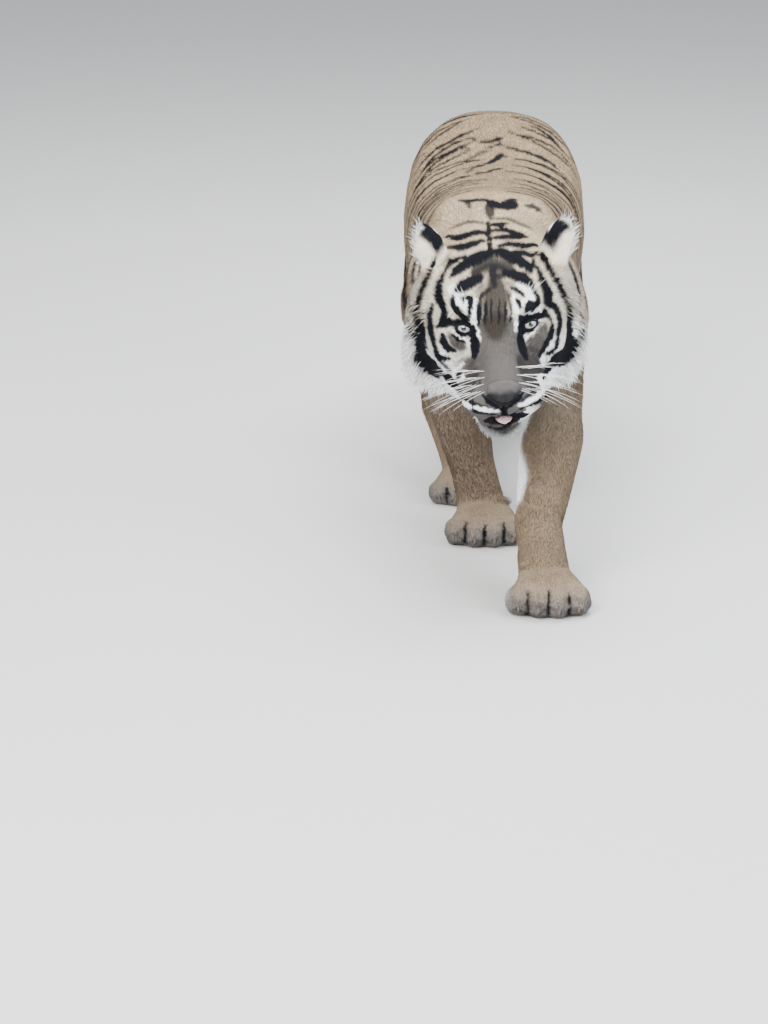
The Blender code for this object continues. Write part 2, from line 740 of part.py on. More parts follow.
def main():
    clear_scene()
    body = whole_body()
    part_head(body)
    for name, planes in TAIL_PLANES.items():
        finish(carve(body, name, planes), name, "tan coat")
    for side, word in reversed(SIDES):
        part_foreleg(body, side, word)
        part_hind_leg(body, side, word)
    for side, word in SIDES:
        shoulder, elbow = FORELEGS[word]["shoulder"], FORELEGS[word]["elbow"]
        front = (0, min(shoulder[1], elbow[1]) - UPPER_ARM_FRONT, 0)
        planes = beside_trunk(UPPER_ARM_PLANES, shoulder, side) + [(front, (0, -1, 0))]
        finish(carve(body, "upper arm", planes), f"upper_arm_{word}", "tan coat")
        thigh = carve(body, "thigh", beside_trunk(THIGH_PLANES, HIND_LEGS[word]["hip"], side))
        finish(thigh, f"thigh_{word}", "tan coat")
    finish(carve(body, "neck", NECK_PLANES), "neck", "tan coat")
    finish(body, "trunk", "tan coat")
    stand_over_origin()


main()
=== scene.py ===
"""A male Sumatran tiger as a still, life-size model, in its coat.

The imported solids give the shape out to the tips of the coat. One skin is made from
all the nodes of flesh and lies inside them by the depth of the coat. Its markings are
drawn as strokes laid on the skin, and the same rule colours the skin and every tuft.
The coat is made of small tapered tufts that follow the lie of the hair, in joined
meshes. Eyes, claws, nose leather, tongue and whiskers are pieces of their own.

Lengths are in metres unless a comment or a name says otherwise. The head's own frame has its
origin at the tip of the nose, +Y back through the skull and +Z up.
"""

import functools
import math
import random

import bmesh
import bpy
import numpy as np
from mathutils import Matrix, Vector
from mathutils.bvhtree import BVHTree
from mathutils.kdtree import KDTree


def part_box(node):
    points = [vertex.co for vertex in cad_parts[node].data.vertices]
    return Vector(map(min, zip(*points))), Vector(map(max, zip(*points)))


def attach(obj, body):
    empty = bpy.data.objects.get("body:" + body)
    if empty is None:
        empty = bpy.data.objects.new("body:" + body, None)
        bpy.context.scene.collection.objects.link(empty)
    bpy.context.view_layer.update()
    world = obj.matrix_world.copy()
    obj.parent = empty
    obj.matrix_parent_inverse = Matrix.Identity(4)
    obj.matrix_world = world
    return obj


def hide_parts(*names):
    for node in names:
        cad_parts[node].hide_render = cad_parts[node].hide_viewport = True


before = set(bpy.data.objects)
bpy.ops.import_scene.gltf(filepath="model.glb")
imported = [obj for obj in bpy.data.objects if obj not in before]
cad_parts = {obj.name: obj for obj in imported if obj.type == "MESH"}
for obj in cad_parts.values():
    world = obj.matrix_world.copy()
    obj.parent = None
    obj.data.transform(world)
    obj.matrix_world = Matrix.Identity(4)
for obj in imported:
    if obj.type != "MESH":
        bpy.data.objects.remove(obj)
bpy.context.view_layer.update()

bl_info = {
    "name": "Sumatran tiger",
    "version": (1, 0, 0),
    "blender": (4, 5, 0),
    "location": "View3D > Sidebar > Tiger",
    "description": "Builds the skin, coat and fine parts of a life-size tiger",
    "category": "Object",
}

# ------------------------------------------------------------------ frames and sizes
MM = 0.001
CM = 0.01
SIDES = ((1, "left"), (-1, "right"))
HEAD_TURNS = {"Z": 4.5, "X": 15.0, "Y": -3.4}
NOSE_TIP = Vector((0.0195, 0.0, 0.385))
EYE_MIDDLE = Vector((0.0525, 0.145, 0.049))
EYE_RADIUS = 0.0148
GAZE_TURNS = {"Z": 12.0, "X": -24.0}
MOUTH_HEIGHT = -0.0535
GAP_HEIGHT = MOUTH_HEIGHT - 0.0065      # of the gap between the lips, where the tongue shows
GAP_WIDTH = 0.0235
LIPS_BACK = 0.045
EAR_ROOTS = {"left": (0.102, 0.268, 0.099), "right": (0.088, 0.268, 0.104)}
EAR_TURNS = {"Z": 112.0, "X": 28.0}
FACE_TILT = math.radians(32)        # the plane that the face's markings are drawn on
TRUNK_AXIS = 0.46                   # height of the line that the trunk's angles go round
TRUNK_REACH = 0.30

# Ellipsoids: the middle, then the half sizes. The ear's are in the ear's own frame.
HEAD_SHAPE = ((0.0, 0.150, 0.010), (0.175, 0.172, 0.165))
LEATHER_SHAPE = ((0.0, 0.004, 0.003), (0.0300, 0.0165, 0.0200))
EAR_SHAPE = ((0.0, 0.0, 0.036), (0.050, 0.033, 0.056))
HOLLOW_SHAPE = ((0.0, -0.024, 0.046), (0.036, 0.034, 0.044))

SKIN_GRAIN = 0.0034
SKIN_OVERLAP = 0.0006
SKIN_FACES = 56160                  # before the face is made finer
SKIN_SMOOTHING = 26
TRUNK_SMOOTHING = 160
LONGEST_EDGE = 0.015
COAT_SHARE = 0.85                   # of the hair's height that the skin lies under its tips
LID_RADIUS = EYE_RADIUS + 0.0011
POCKET_RADIUS = EYE_RADIUS - 0.0022
LID_REACH = 0.024                   # from an eye's middle to the far end of its lids


def turned(origin, turns):
    """A frame at origin, turned by the named angles in their order."""
    matrix = Matrix.Translation(origin)
    for axis, degrees in turns.items():
        matrix = matrix @ Matrix.Rotation(math.radians(degrees), 4, axis)
    return matrix


@functools.cache
def middle_of(node):
    """The middle of a node's box."""
    low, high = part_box(node)
    return (low + high) / 2


def find_head():
    """The head's frame, from the two eyeballs."""
    turn = turned((0, 0, 0), HEAD_TURNS)
    between = (middle_of("eye_left") + middle_of("eye_right")) / 2
    return Matrix.Translation(between - turn @ Vector((0, EYE_MIDDLE.y, EYE_MIDDLE.z))) @ turn


HEAD = find_head()
HEAD_INVERSE = HEAD.inverted()
STAND = HEAD.translation - NOSE_TIP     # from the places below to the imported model


def gaze_frame(side):
    """The frame of an eye: -Y is the way it looks, +Z is up."""
    turns = {axis: degrees * (side if axis == "Z" else 1) for axis, degrees in GAZE_TURNS.items()}
    middle = (EYE_MIDDLE.x * side, EYE_MIDDLE.y, EYE_MIDDLE.z)
    return HEAD @ turned(middle, turns)


def ear_frame(side, word):
    """The frame of an ear: +Z is to its tip, -Y is out of its hollow."""
    return HEAD @ Matrix.Diagonal((side, 1, 1, 1)) @ turned(EAR_ROOTS[word], EAR_TURNS)


# Bones that the coat follows: start, end, how far out the skin is, length of the
# hair, width of a tuft in millimetres, lift in degrees, droop. y = 0 is the front of
# the left forefoot, before STAND moves them to the model.
BONES = {
    "neck": ((0, 0.22, 0.500), (0, 0.42, 0.490), 0.125, 0.010, 1.7, 15, 0.55),
    "chest": ((0, 0.42, 0.465), (0, 0.70, 0.462), 0.155, 0.011, 1.8, 10, 0.35),
    "barrel": ((0, 0.70, 0.462), (0, 1.02, 0.470), 0.165, 0.012, 1.9, 9, 0.30),
    "rump": ((0, 1.02, 0.470), (0, 1.38, 0.510), 0.150, 0.012, 1.9, 9, 0.35),
    "upper_arm_left": ((0.100, 0.43, 0.47), (0.114, 0.345, 0.290), 0.066, 0.014, 2.1, 13, 0.5),
    "forearm_left": ((0.114, 0.345, 0.290), (0.080, 0.160, 0.115), 0.050, 0.009, 1.7, 12, 0.2),
    "fore_paw_left": ((0.080, 0.160, 0.115), (0.0965, 0.020, 0.020), 0.046, 0.007, 1.5, 13, 0),
    "upper_arm_right": ((-0.114, 0.400, 0.455), (-0.078, 0.520, 0.310), 0.066, 0.014, 2.1, 13, 0.5),
    "forearm_right": ((-0.078, 0.520, 0.310), (-0.030, 0.500, 0.110), 0.050, 0.009, 1.7, 12, 0.2),
    "fore_paw_right": ((-0.030, 0.500, 0.110), (-0.011, 0.405, 0.020), 0.046, 0.007, 1.5, 13, 0),
    "thigh_left": ((0.084, 1.190, 0.470), (0.122, 1.095, 0.305), 0.100, 0.015, 2.2, 12, 0.3),
    "shank_left": ((0.122, 1.095, 0.305), (0.090, 1.325, 0.175), 0.050, 0.012, 1.9, 12, 0.2),
    "hind_foot_left": ((0.090, 1.325, 0.175), (0.080, 1.245, 0.060), 0.034, 0.009, 1.7, 12, 0),
    "hind_paw_left": ((0.080, 1.245, 0.060), (0.072, 1.180, 0.020), 0.044, 0.007, 1.5, 13, 0),
    "thigh_right": ((-0.084, 1.165, 0.470), (-0.118, 0.965, 0.345), 0.100, 0.015, 2.2, 12, 0.3),
    "shank_right": ((-0.118, 0.965, 0.345), (-0.100, 0.920, 0.128), 0.050, 0.012, 1.9, 12, 0.2),
    "hind_foot_right": ((-0.100, 0.920, 0.128), (-0.066, 0.735, 0.050), 0.034, 0.009, 1.7, 12, 0),
    "hind_paw_right": ((-0.066, 0.735, 0.050), (-0.050, 0.655, 0.020), 0.044, 0.007, 1.5, 13, 0),
    "tail_1": ((0, 1.36, 0.545), (-0.006, 1.47, 0.475), 0.042, 0.020, 2.3, 13, 0),
    "tail_2": ((-0.006, 1.47, 0.475), (-0.016, 1.56, 0.270), 0.033, 0.020, 2.3, 13, 0),
    "tail_3": ((-0.016, 1.56, 0.270), (0.002, 1.70, 0.140), 0.030, 0.020, 2.3, 14, 0),
    "tail_4": ((0.002, 1.70, 0.140), (0.028, 1.86, 0.200), 0.026, 0.022, 2.3, 15, 0),
    "tail_5": ((0.028, 1.86, 0.200), (0.030, 1.90, 0.245), 0.019, 0.026, 2.3, 15, 0),
}
BONE_NAMES = list(BONES)
LEG_PARTS = ("upper_arm", "forearm", "fore_paw", "thigh", "shank", "hind_foot", "hind_paw")
BONE_STARTS = np.array([BONES[name][0] for name in BONE_NAMES]) + np.array(STAND)
BONE_ENDS = np.array([BONES[name][1] for name in BONE_NAMES]) + np.array(STAND)
BONE_SIZES = np.array([BONES[name][2:] for name in BONE_NAMES])


# ------------------------------------------------------------------ markings
# Strokes of the face on a plane that faces it: the width in millimetres, then points
# across and up in centimetres from the tip of the nose. A point with a third number has
# that width; an end without one is narrower than the rest.
FACE_STROKES = {
    "black": [
        (9, (0.5, 30.5), (0.2, 28), (0, 26), (-0.2, 23.5)),    # crown
        (12, (-6.7, 28.5), (-4.5, 28), (-2, 28.4), (0, 28)),
        (13, (-6.7, 26.3), (-4.5, 26), (-3, 26.2), (-1.2, 26.7)),
        (18, (0.3, 24.4), (-2.5, 23.7), (-5, 22.2), (-7, 20.4, 5)),
        (9, (1, 29.8), (2.3, 29.8), (3.5, 30.1)),
        (10, (0.8, 28.5), (3, 28.6), (4.5, 28.1), (6, 27.8)),
        (10, (0.7, 27.1), (2.8, 27.2), (4.5, 27.2), (6.6, 27.4)),
        (10, (1.6, 25.5), (3.5, 25.7), (6, 25.5), (8.9, 25.7)),
        (18, (0.2, 24.5), (2.5, 24), (5, 22.4), (6.4, 20.3, 6)),
        (10, (3.8, 24.3), (5.5, 24.1), (6.5, 23.8), (8, 24)),
        (7, (7.1, 23), (6.9, 22), (6.5, 20.7)),
        (20, (-5.9, 18.3), (-5, 18.8), (-3.8, 19.4), (-2.3, 20)),    # forehead
        (20, (2.3, 20.4), (4, 19.9), (5, 19.4), (6.1, 18.3)),
        (9, (-6.9, 17.3), (-7, 16), (-6.3, 14.4), (-4.8, 13)),
        (9, (-5.6, 16.8), (-4.1, 16.6), (-4.3, 15), (-4.7, 13.2)),
        (5, (-5.3, 16.8), (-5.3, 15.8)),
        (5, (-1.7, 15.8), (-1.8, 14), (-2.2, 12)),
        (4, (-0.8, 16), (-0.9, 14), (-1.1, 12)),
        (4, (0.5, 16), (0.4, 14), (0.1, 12)),
        (4, (1.5, 15.6), (1.5, 13.8), (1.1, 12)),
        (4, (2.4, 15.2), (2.4, 13.6), (2.1, 12.2)),
        (8, (-2.8, 15.6), (-2.9, 14.5), (-3, 13.3), (-3.2, 12)),
        (8, (2.6, 17.9), (3.7, 17.5), (4.8, 16.3)),
        (7, (3.5, 16), (3.8, 15), (4, 14.3)),
        (14, (4.9, 14), (5.9, 14.8), (7, 15.1)),
        (8, (6.2, 17.8), (6.9, 16.5), (7.3, 15)),
        (10, (-9.2, 24, 5), (-10.5, 21.4), (-12, 18.5), (-12.9, 15.2), (-12.6, 12, 13),
         (-12.4, 9, 16), (-11.8, 7.1, 21), (-10.8, 6, 18), (-9.2, 4.6, 6)),    # rings
        (8, (-13.6, 10.1), (-12.8, 10.1, 8)),
        (14, (-9.2, 4.4, 5), (-8.5, 3.6), (-7.2, 2.1)),
        (10, (-4.4, 24, 5), (-6.2, 23.4), (-7.6, 22, 7), (-8.8, 19.7, 12), (-9.2, 17.5, 14),
         (-8.5, 15.2, 9), (-8.8, 12.9, 14)),
        (13, (-9.9, 12.5, 5), (-8.8, 12.8), (-7.6, 12.9), (-6.8, 12.9)),
        (10, (-10.2, 16.3), (-10.8, 14.5), (-10.8, 12), (-10.3, 9, 7), (-9.8, 7.4), (-8, 6.9, 5)),
        (11, (-9.1, 11.1), (-9, 9.9), (-8.2, 8.6), (-7, 8, 4)),
        (5, (-7.7, 11.2), (-6.6, 10.1), (-5.3, 9.2)),
        (11, (8.6, 23.7), (9.3, 21.5), (10.4, 19.1), (11.4, 17), (12.4, 14.6), (12.5, 12.5),
         (12, 10), (11.8, 8, 15), (11.4, 6.7, 22), (9.5, 5.8, 17), (8, 4.5, 11), (6.8, 2.5, 4)),
        (8, (9.7, 7.8), (8.6, 6.9), (7.6, 6.7)),
        (12, (7.4, 21.5), (8, 19.5), (8.8, 16.8, 16), (8.8, 15.4, 14), (10.2, 14), (10.5, 12, 9),
         (10, 9.3, 7), (9.6, 7.8, 8)),
        (9, (8.1, 13.7, 11), (9.1, 12.2, 6), (9.1, 10.5), (8, 8.5), (6.5, 6.3)),
        (11, (-7.9, 12.8, 11), (-6.7, 12.9), (-5.2, 12.6), (-4.1, 11.6, 9)),    # eyes
        (7, (-6.8, 11.4), (-5.8, 10.8), (-4.9, 10.7), (-4.2, 11.2, 9)),
        (13, (-4.1, 11.4, 10), (-4, 10), (-3.9, 8.4), (-4.2, 6.8, 8)),
        (11, (3.8, 11.9), (4.6, 12.5), (6, 12.9), (8.3, 13.4, 11)),
        (8, (3.5, 11, 9), (4.5, 10.6), (5.6, 10.9), (7, 12.4)),
        (13, (3.7, 10.3, 10), (3.6, 9), (3.8, 7.6), (4.4, 5.8, 5)),
        (4, (-5, 0.1), (-5, -2), (-3.6, -2.5), (-0.7, -3)),    # mouth and nose
        (6, (9.2, 1.2), (6.6, -0.6), (5, -1.5), (2.4, -2.3)),
        (8, (0, -1.9, 8), (0.1, -3.3, 8)),
        (9, (-3, -3.8), (-1.7, -3.5), (0.5, -3.3), (2, -3.3), (3.4, -3.2)),
        (5, (-2.5, -4.8), (-1, -5.2), (0.3, -4.9), (1.4, -4.2)),
        (6, (-3.4, 0.4), (-2.5, -0.8), (-0.5, -2)),
        (6, (3.1, 0.3), (2.2, -0.8), (0.3, -2.1)),
    ],
    "dim": [
        (6, (-5.7, 30), (-4, 30.6), (-2.2, 30.8), (0.5, 30)),
        (6, (2, 31), (4, 30.9), (6, 29.8), (7.7, 28.9)),
        (3, (-7.1, 7.3), (-5.9, 7.6)),
        (4, (-7.2, 6.2), (-6, 6.6)),
        (6, (-3.7, 3), (-3.7, 1.9)),
    ],
    "dark": [
        (14, (-3.2, 21.1), (-1.8, 22.2), (0, 22.8), (1.8, 22), (3.4, 21.2)),    # forehead
        (10, (0.1, 23.4), (0.1, 21.5), (0, 19.8), (0, 18)),
        (10, (0.3, 20.2), (1.6, 20.2), (3, 20.3)),
        (7, (-2.9, 16), (-1.8, 17.3), (-0.5, 18.1)),
        (6, (-2.4, 12.8), (-1.6, 12.9)),
        (6, (-9.6, 6.7), (-8.8, 5.7), (-7.9, 4.7)),    # cheeks and lips
        (7, (-7.1, 3.9), (-6.4, 4.8)),
        (5, (-6.9, 1.6), (-6.5, 0.2), (-5, -0.8), (-2.6, -1.7)),
        (5, (6.1, 1.3), (4.8, 0.3), (2.4, -1.1)),
        (3, (-5.8, 1.2), (-4.8, 0.6)),
        (14, (-2.3, 0.1), (-1.4, -0.5), (0, -1), (1.2, -0.5), (2, 0.1)),
    ],
    "brown": [
        (7, (-4.2, 6.8), (-4.6, 5.9), (-5.3, 4.9)),
        (15, (-2.6, 20.8), (0, 21.6), (2.6, 20.8)),    # forehead
        (36, (-0.1, 20.6, 16), (0.2, 18.6, 28), (0, 16.6), (-0.3, 14.5), (-0.4, 12.5),
         (-0.4, 10.8, 26), (-0.2, 9.8, 12)),
        (14, (-1.9, 17.6), (-2.4, 16.2), (-2.2, 14.4)),
        (14, (1.6, 17.9), (2.1, 16.4), (2.2, 14.4)),
        (7, (1.2, 19), (2.4, 18.6), (3.2, 18.6)),
        (7, (-1, 19.2), (-2.2, 18.4), (-3, 17.6)),
    ],
    "white": [
        (18, (-6.9, 18.7, 16), (-6.2, 17), (-5, 15.6), (-3.9, 14.2)),    # over the eyes
        (10, (-3.4, 16.2, 9), (-3.7, 14.7), (-3.8, 13.4, 8)),
        (14, (4.1, 18.5), (5.3, 17.6), (6, 16.2), (3.9, 14.9)),
        (10, (3.1, 16.5, 8), (3.2, 15), (3.4, 13.6, 9)),
        (5, (3.9, 12.9), (5.1, 13.5), (6.9, 13.7), (7.5, 14.8)),
        (7, (-4.3, 12.8), (-3.6, 11.4), (-3.1, 9.5)),
        (6, (3.4, 12.8), (3.1, 11.6), (2.8, 10.5)),
        (6, (-7.4, 11.9), (-6.5, 10.9), (-5.3, 9.9), (-4.6, 8.5)),    # under them
        (6, (7.1, 12.3), (6.2, 11), (4.8, 9.9), (4.4, 8.9)),
        (7, (-7.3, 0.6), (-6.2, -0.9), (-4, -1.9), (-0.7, -2.4, 3)),    # lips
        (8, (7.8, 1.5), (6, 0), (4.2, -1.1), (2.4, -1.7)),
        (5, (-6, 6), (-6.6, 5.4), (-7.5, 5)),    # cheeks
        (5, (-6.1, 4.3), (-6.4, 3.4), (-7.2, 3)),
        (9, (7.1, 6.2), (7.2, 5.6), (7.1, 5)),
    ],
    "grey brown": [
        # painted shade: the sides of the muzzle darker than the bridge, the right side most
        (24, (3.7, 6.2, 8), (4.3, 4.6), (4.9, 3, 32), (4.6, 1.6)),    # sides of the muzzle
        (16, (-4.4, 4.4, 8), (-5, 2.9), (-5.2, 1.6)),
        (18, (-7.6, 10.6), (-6.8, 9.5), (-5.8, 8.4)),    # under the eyes
        (19, (8, 11.4), (7.2, 9.6), (6, 7.9), (5.3, 9.1)),
        # painted shade: the chin darker under the mouth
        (10, (-2.4, -4.6), (0, -5.6), (2.4, -4.6)),    # chin
        (16, (-2.8, -5.8), (0, -6.8), (2.8, -5.8)),
    ],
    "bridge": [
        (60, (-0.3, 9.6, 54), (-0.5, 7.3), (-1, 4.9, 70), (-1, 2.9, 79)),
        (92, (-1.1, 1.2, 92)),
        (40, (3.6, 6.4, 16), (4.4, 4.8, 34), (5, 3, 44), (5.2, 1.6, 36)),
        (34, (-4.4, 5, 16), (-5, 3.4), (-5.2, 2, 34)),
    ],
}
# Strokes of the trunk: y in centimetres, degrees round it from the top towards the
# left side, and the width in millimetres.
TRUNK_STROKES = {
    "black": [
        [(47, -21, 5), (46, -15, 9), (46, -9, 9), (45, -3, 7), (42, 3, 15), (43, 9, 16),
         (47, 12, 7)],  # withers band
        [(81, -12, 6), (81, -6, 6), (83, 0, 6), (84, 5, 5)],  # back bar 1
        [(86, -13, 6), (88, -8, 8), (90, -2, 10), (94, 3, 11), (96, 6, 6)],  # back bar 2
        [(99, -7, 6), (100, -1, 6), (102, 4, 5)],  # back bar 5
        [(103, -8, 8), (103, -2, 8), (105, 4, 6)],  # back bar 6
    ],
    "dark": [
        [(45, -17, 7), (42, -15, 3)],  # withers drop 1
        [(43, -3, 9), (39, -3, 10), (35, -2, 5)],  # withers drop 2
        [(45, 21, 5), (45, 26, 9), (45, 30, 5)],  # right bar
    ],
    "dim": [
        [(93, -21, 7), (95, -15, 9), (97, -9, 8), (98, -3, 6)],  # back bar 3
        [(82, -20, 6), (86, -16, 7), (88, -11, 6)],  # back bar 4
    ],
}
# Bars across the legs: the bone, then for each bar how far along it, the degrees
# where it starts and ends round the bone from the front, and its width.
LEG_BARS = {
    "upper_arm": [(0.20, 40, 125, 8), (0.55, 55, 140, 8), (0.85, 70, 150, 7)],
    "forearm": [(0.12, 80, 165, 7), (0.38, 95, 175, 6), (0.62, 200, 268, 6), (0.85, 215, 262, 5)],
    "thigh": [(-0.15, 35, 150, 10), (0.10, 30, 155, 9), (0.30, 40, 160, 10), (0.50, 35, 165, 9),
              (0.70, 45, 170, 10), (0.90, 40, 165, 9), (0.40, 215, 300, 8), (0.75, 210, 290, 8)],
    "shank": [(0.05, 30, 165, 9), (0.22, 40, 170, 8), (0.38, 35, 160, 9), (0.55, 45, 170, 8),
              (0.72, 45, 165, 8), (0.88, 55, 170, 7), (0.30, 200, 280, 7), (0.60, 205, 285, 7)],
}
TRUNK_CM_PER_DEGREE = 0.26
TAIL_TIP = (1.800, 1.815)            # where the tail turns black
# painted shadow: a black line down each gap between the toes
TOE_GAPS = (-0.034, 0.0, 0.034)      # across a paw, from its middle; each gap's dark line is
                                     # given as heights and widths in millimetres
TOE_GAP_SHADOW = ((0.004, 8.5), (0.018, 7.0), (0.034, 5.5), (0.046, 3.0), (0.054, 1.0))
PAWS = {    # the front of the toes, and the size of the paw
    "fore_left": ((0.0965, 0.0), 1.0), "fore_right": ((-0.011, 0.385), 1.0),
    "hind_left": ((0.072, 1.165), 0.92), "hind_right": ((-0.050, 0.640), 0.92),
}
TAIL_RINGS = [(0.10, 10), (0.20, 13), (0.29, 9), (0.37, 15), (0.46, 11), (0.54, 17), (0.62, 14),
              (0.70, 20), (0.78, 22), (0.86, 26)]
LONGEST_STEP = 0.05      # past it, a stroke has jumped to another part of the skin
FLATTEST = 0.12          # the least that a stroke's slope on the skin counts for
WITHERS_WIDER, BACK_WIDER, LEG_WIDER = 2.0, 1.3, 1.4     # for the slope of the skin there
MARK_SIZES = (0, 0.0025, 0.004, 0.006, 0.009, 0.013, 0.020, 0.030, 1)   # of half widths
INKS = {    # colour, softness of the edge in mm, strength, how much wider than the stroke
    "bridge": ((0.068, 0.063, 0.061), 12, 0.97, 1.65),
    "brown": ((0.029, 0.024, 0.020), 14, 0.96, 1.3),
    "grey brown": ((0.032, 0.029, 0.028), 9, 0.94, 1.4),
    "white": ((0.950, 0.955, 0.960), 3, 0.97, 1.05),
    "dim": ((0.022, 0.021, 0.022), 3, 0.80, 1.25),
    "dark": ((0.010, 0.010, 0.013), 3, 0.92, 1.25),
    "black": ((0.005, 0.006, 0.009), 2, 1.00, 1.15),
}
# painted shade: the skin under the tufts is darkened
SKIN_PAINTED_SHADE = 0.92     # how dark the skin under the tufts is
DARKEST = 0.005
LIGHTEST = 0.95
GROUND = {    # the coat between the marks
    "tan": (0.172, 0.128, 0.086),
    "sand": (0.345, 0.255, 0.160),
    "cream": (0.680, 0.550, 0.385),
    "white": (0.920, 0.930, 0.935),
    "face": (0.600, 0.550, 0.465),
    # painted shadow: used on the right foreleg, where the left foreleg shades it
    "shade": (0.125, 0.096, 0.074),
    # painted shade: used on the toes near the floor and on the chin under the mouth
    "grey": (0.130, 0.128, 0.130),
}


def smooth_ramp(low, high, values):
    """0 below low, 1 above high, smooth between."""
    share = np.clip((values - low) / (high - low), 0.0, 1.0)
    return share * share * (3.0 - 2.0 * share)


def as_rows(matrix, points):
    """Points moved by a matrix, as rows."""
    turn = np.array(matrix)
    return points @ turn[:3, :3].T + turn[:3, 3]


def mottle(points, size, seed):
    """A smooth uneven field of about -1 to 1 whose patches are size across."""
    draw = np.random.default_rng(seed)
    total = np.zeros(len(points))
    for _ in range(9):
        way = draw.normal(size=3)
        way *= 2 * math.pi / (size * 2.2) / np.linalg.norm(way) * draw.uniform(0.7, 1.4)
        total += np.sin(points @ way + draw.uniform(0, 2 * math.pi))
    return total / 3.2


def bone_shares(points):
    """How much each bone has to say at each point; a row adds up to 1."""
    shares = np.empty((len(points), len(BONE_NAMES)))
    for index in range(len(BONE_NAMES)):
        start = BONE_STARTS[index]
        along = BONE_ENDS[index] - start
        share = np.clip((points - start) @ along / (along @ along), 0.0, 1.0)
        away = np.linalg.norm(points - start - share[:, None] * along, axis=1)
        shares[:, index] = (np.maximum(away, 0.2 * BONE_SIZES[index, 0])
                            / BONE_SIZES[index, 0]) ** -7.0
    return shares / shares.sum(axis=1, keepdims=True)


def unit(rows):
    """Rows of length 1."""
    return rows / np.maximum(np.linalg.norm(rows, axis=1), 1e-9)[:, None]


def level_of(local, shape):
    """0 at the middle of an ellipsoid and 1 on its surface."""
    middle, reach = shape
    return np.linalg.norm((local - middle) / reach, axis=1)


def head_share(points):
    """1 on the head, 0 on the body."""
    return 1.0 - smooth_ramp(0.92, 1.18, level_of(as_rows(HEAD_INVERSE, points), HEAD_SHAPE))


def group_share(shares, *words):
    """The share of the bones whose names start with one of the words."""
    picked = [index for index, name in enumerate(BONE_NAMES) if name.startswith(words)]
    return shares[:, picked].sum(axis=1)


def mix(colours, other, share):
    """Colours moved towards another colour by a share at each point."""
    return colours + (np.asarray(other) - colours) * share[:, None]


def outer_side(points, shares):
    """How far each point of a leg faces away from the belly: about -1 to 1."""
    # The right foreleg's inner side is pushed towards outer so it is tan, not white: painted shade
    # where the left foreleg shades it. The forepaws' inner sides are pushed too, as they are tan.
    outer = 0.5 * group_share(shares, "forearm_right", "upper_arm_right", "fore_paw")
    for side, word in SIDES:
        for part in LEG_PARTS:
            index = BONE_NAMES.index(f"{part}_{word}")
            start, end = BONE_STARTS[index], BONE_ENDS[index]
            share = np.clip((points - start) @ (end - start) / ((end - start) @ (end - start)), 0, 1)
            offset = points - start - share[:, None] * (end - start)
            outer += shares[:, index] * offset[:, 0] * side / BONE_SIZES[index, 0]
    return outer


def trunk_ground(points, place, shares):
    """The colour of the trunk and neck: sand, darker on top, white below."""
    angle = np.abs(np.degrees(np.arctan2(place[:, 0], place[:, 2] - TRUNK_AXIS)))
    low = smooth_ramp(96, 132, angle + 7 * mottle(points, 0.08, 11))
    low *= 1.0 - 0.9 * smooth_ramp(1.08, 1.22, place[:, 1])
    top = 1.0 - smooth_ramp(5, 55, angle)
    colours = np.tile(GROUND["sand"], (len(points), 1))
    colours = mix(colours, GROUND["tan"], 0.35 * top * smooth_ramp(0.55, 0.75, place[:, 1]))
    colours = mix(colours, GROUND["white"], low)
    neck = group_share(shares, "neck")
    colours = mix(colours, GROUND["cream"], 0.8 * neck * (1 - low))
    return mix(colours, GROUND["white"], 0.75 * neck * smooth_ramp(45, 80, angle))


def leg_ground(colours, points, place, shares):
    """The legs' colour over the trunk's: tan outside, white inside, with painted shade greying the
    toes near the floor and painted shadow darkening the right foreleg.
    """
    height = place[:, 2]
    outer = smooth_ramp(-0.92, -0.64, outer_side(points, shares) + 0.12 * mottle(points, 0.05, 12))
    tan = mix(np.tile(GROUND["white"], (len(points), 1)), GROUND["tan"], outer)
    legs = group_share(shares, *LEG_PARTS)
    colours = colours + (tan - colours) * (legs * smooth_ramp(0.40, 0.75, legs))[:, None]
    paws = group_share(shares, "fore_paw", "hind_paw")
    colours = mix(colours, GROUND["cream"], 0.15 * paws * smooth_ramp(0.075, 0.045, height))
    # painted shade: the toes turn grey towards the floor
    colours = mix(colours, GROUND["grey"], 0.80 * paws * smooth_ramp(0.055, 0.020, height))
    # painted shadow: the right foreleg and its paw darkened to a mottled dark brown where the left
    # foreleg shades them
    shade = group_share(shares, "forearm_right", "fore_paw_right") * smooth_ramp(0.05, 0.09, height)
    shade *= 0.55 + 0.35 * mottle(points, 0.045, 15)
    return mix(colours, GROUND["shade"], np.clip(shade, 0, 0.9) * outer)


def head_ground(colours, points):
    """The head's colour over the body's: cream above, white below, and the chin greyed with painted
    shade under the mouth.
    """
    head = head_share(points)
    local = as_rows(HEAD_INVERSE, points)
    height = local[:, 2]
    colours = mix(colours, GROUND["face"], head)
    colours = mix(colours, GROUND["cream"], 0.45 * head * smooth_ramp(0.075, 0.115, height))
    colours = mix(colours, GROUND["white"], head * smooth_ramp(0.035, -0.010, height))
    # painted shade: the chin greyed under the mouth
    chin = smooth_ramp(-0.056, -0.066, height) * smooth_ramp(0.09, 0.05, local[:, 1])
    colours = mix(colours, GROUND["grey"], 0.70 * head * chin)
    for side, word in SIDES:
        place, ear = ear_local(points, side, word)
        colours = mix(colours, ear_colour(place), ear)
    return colours


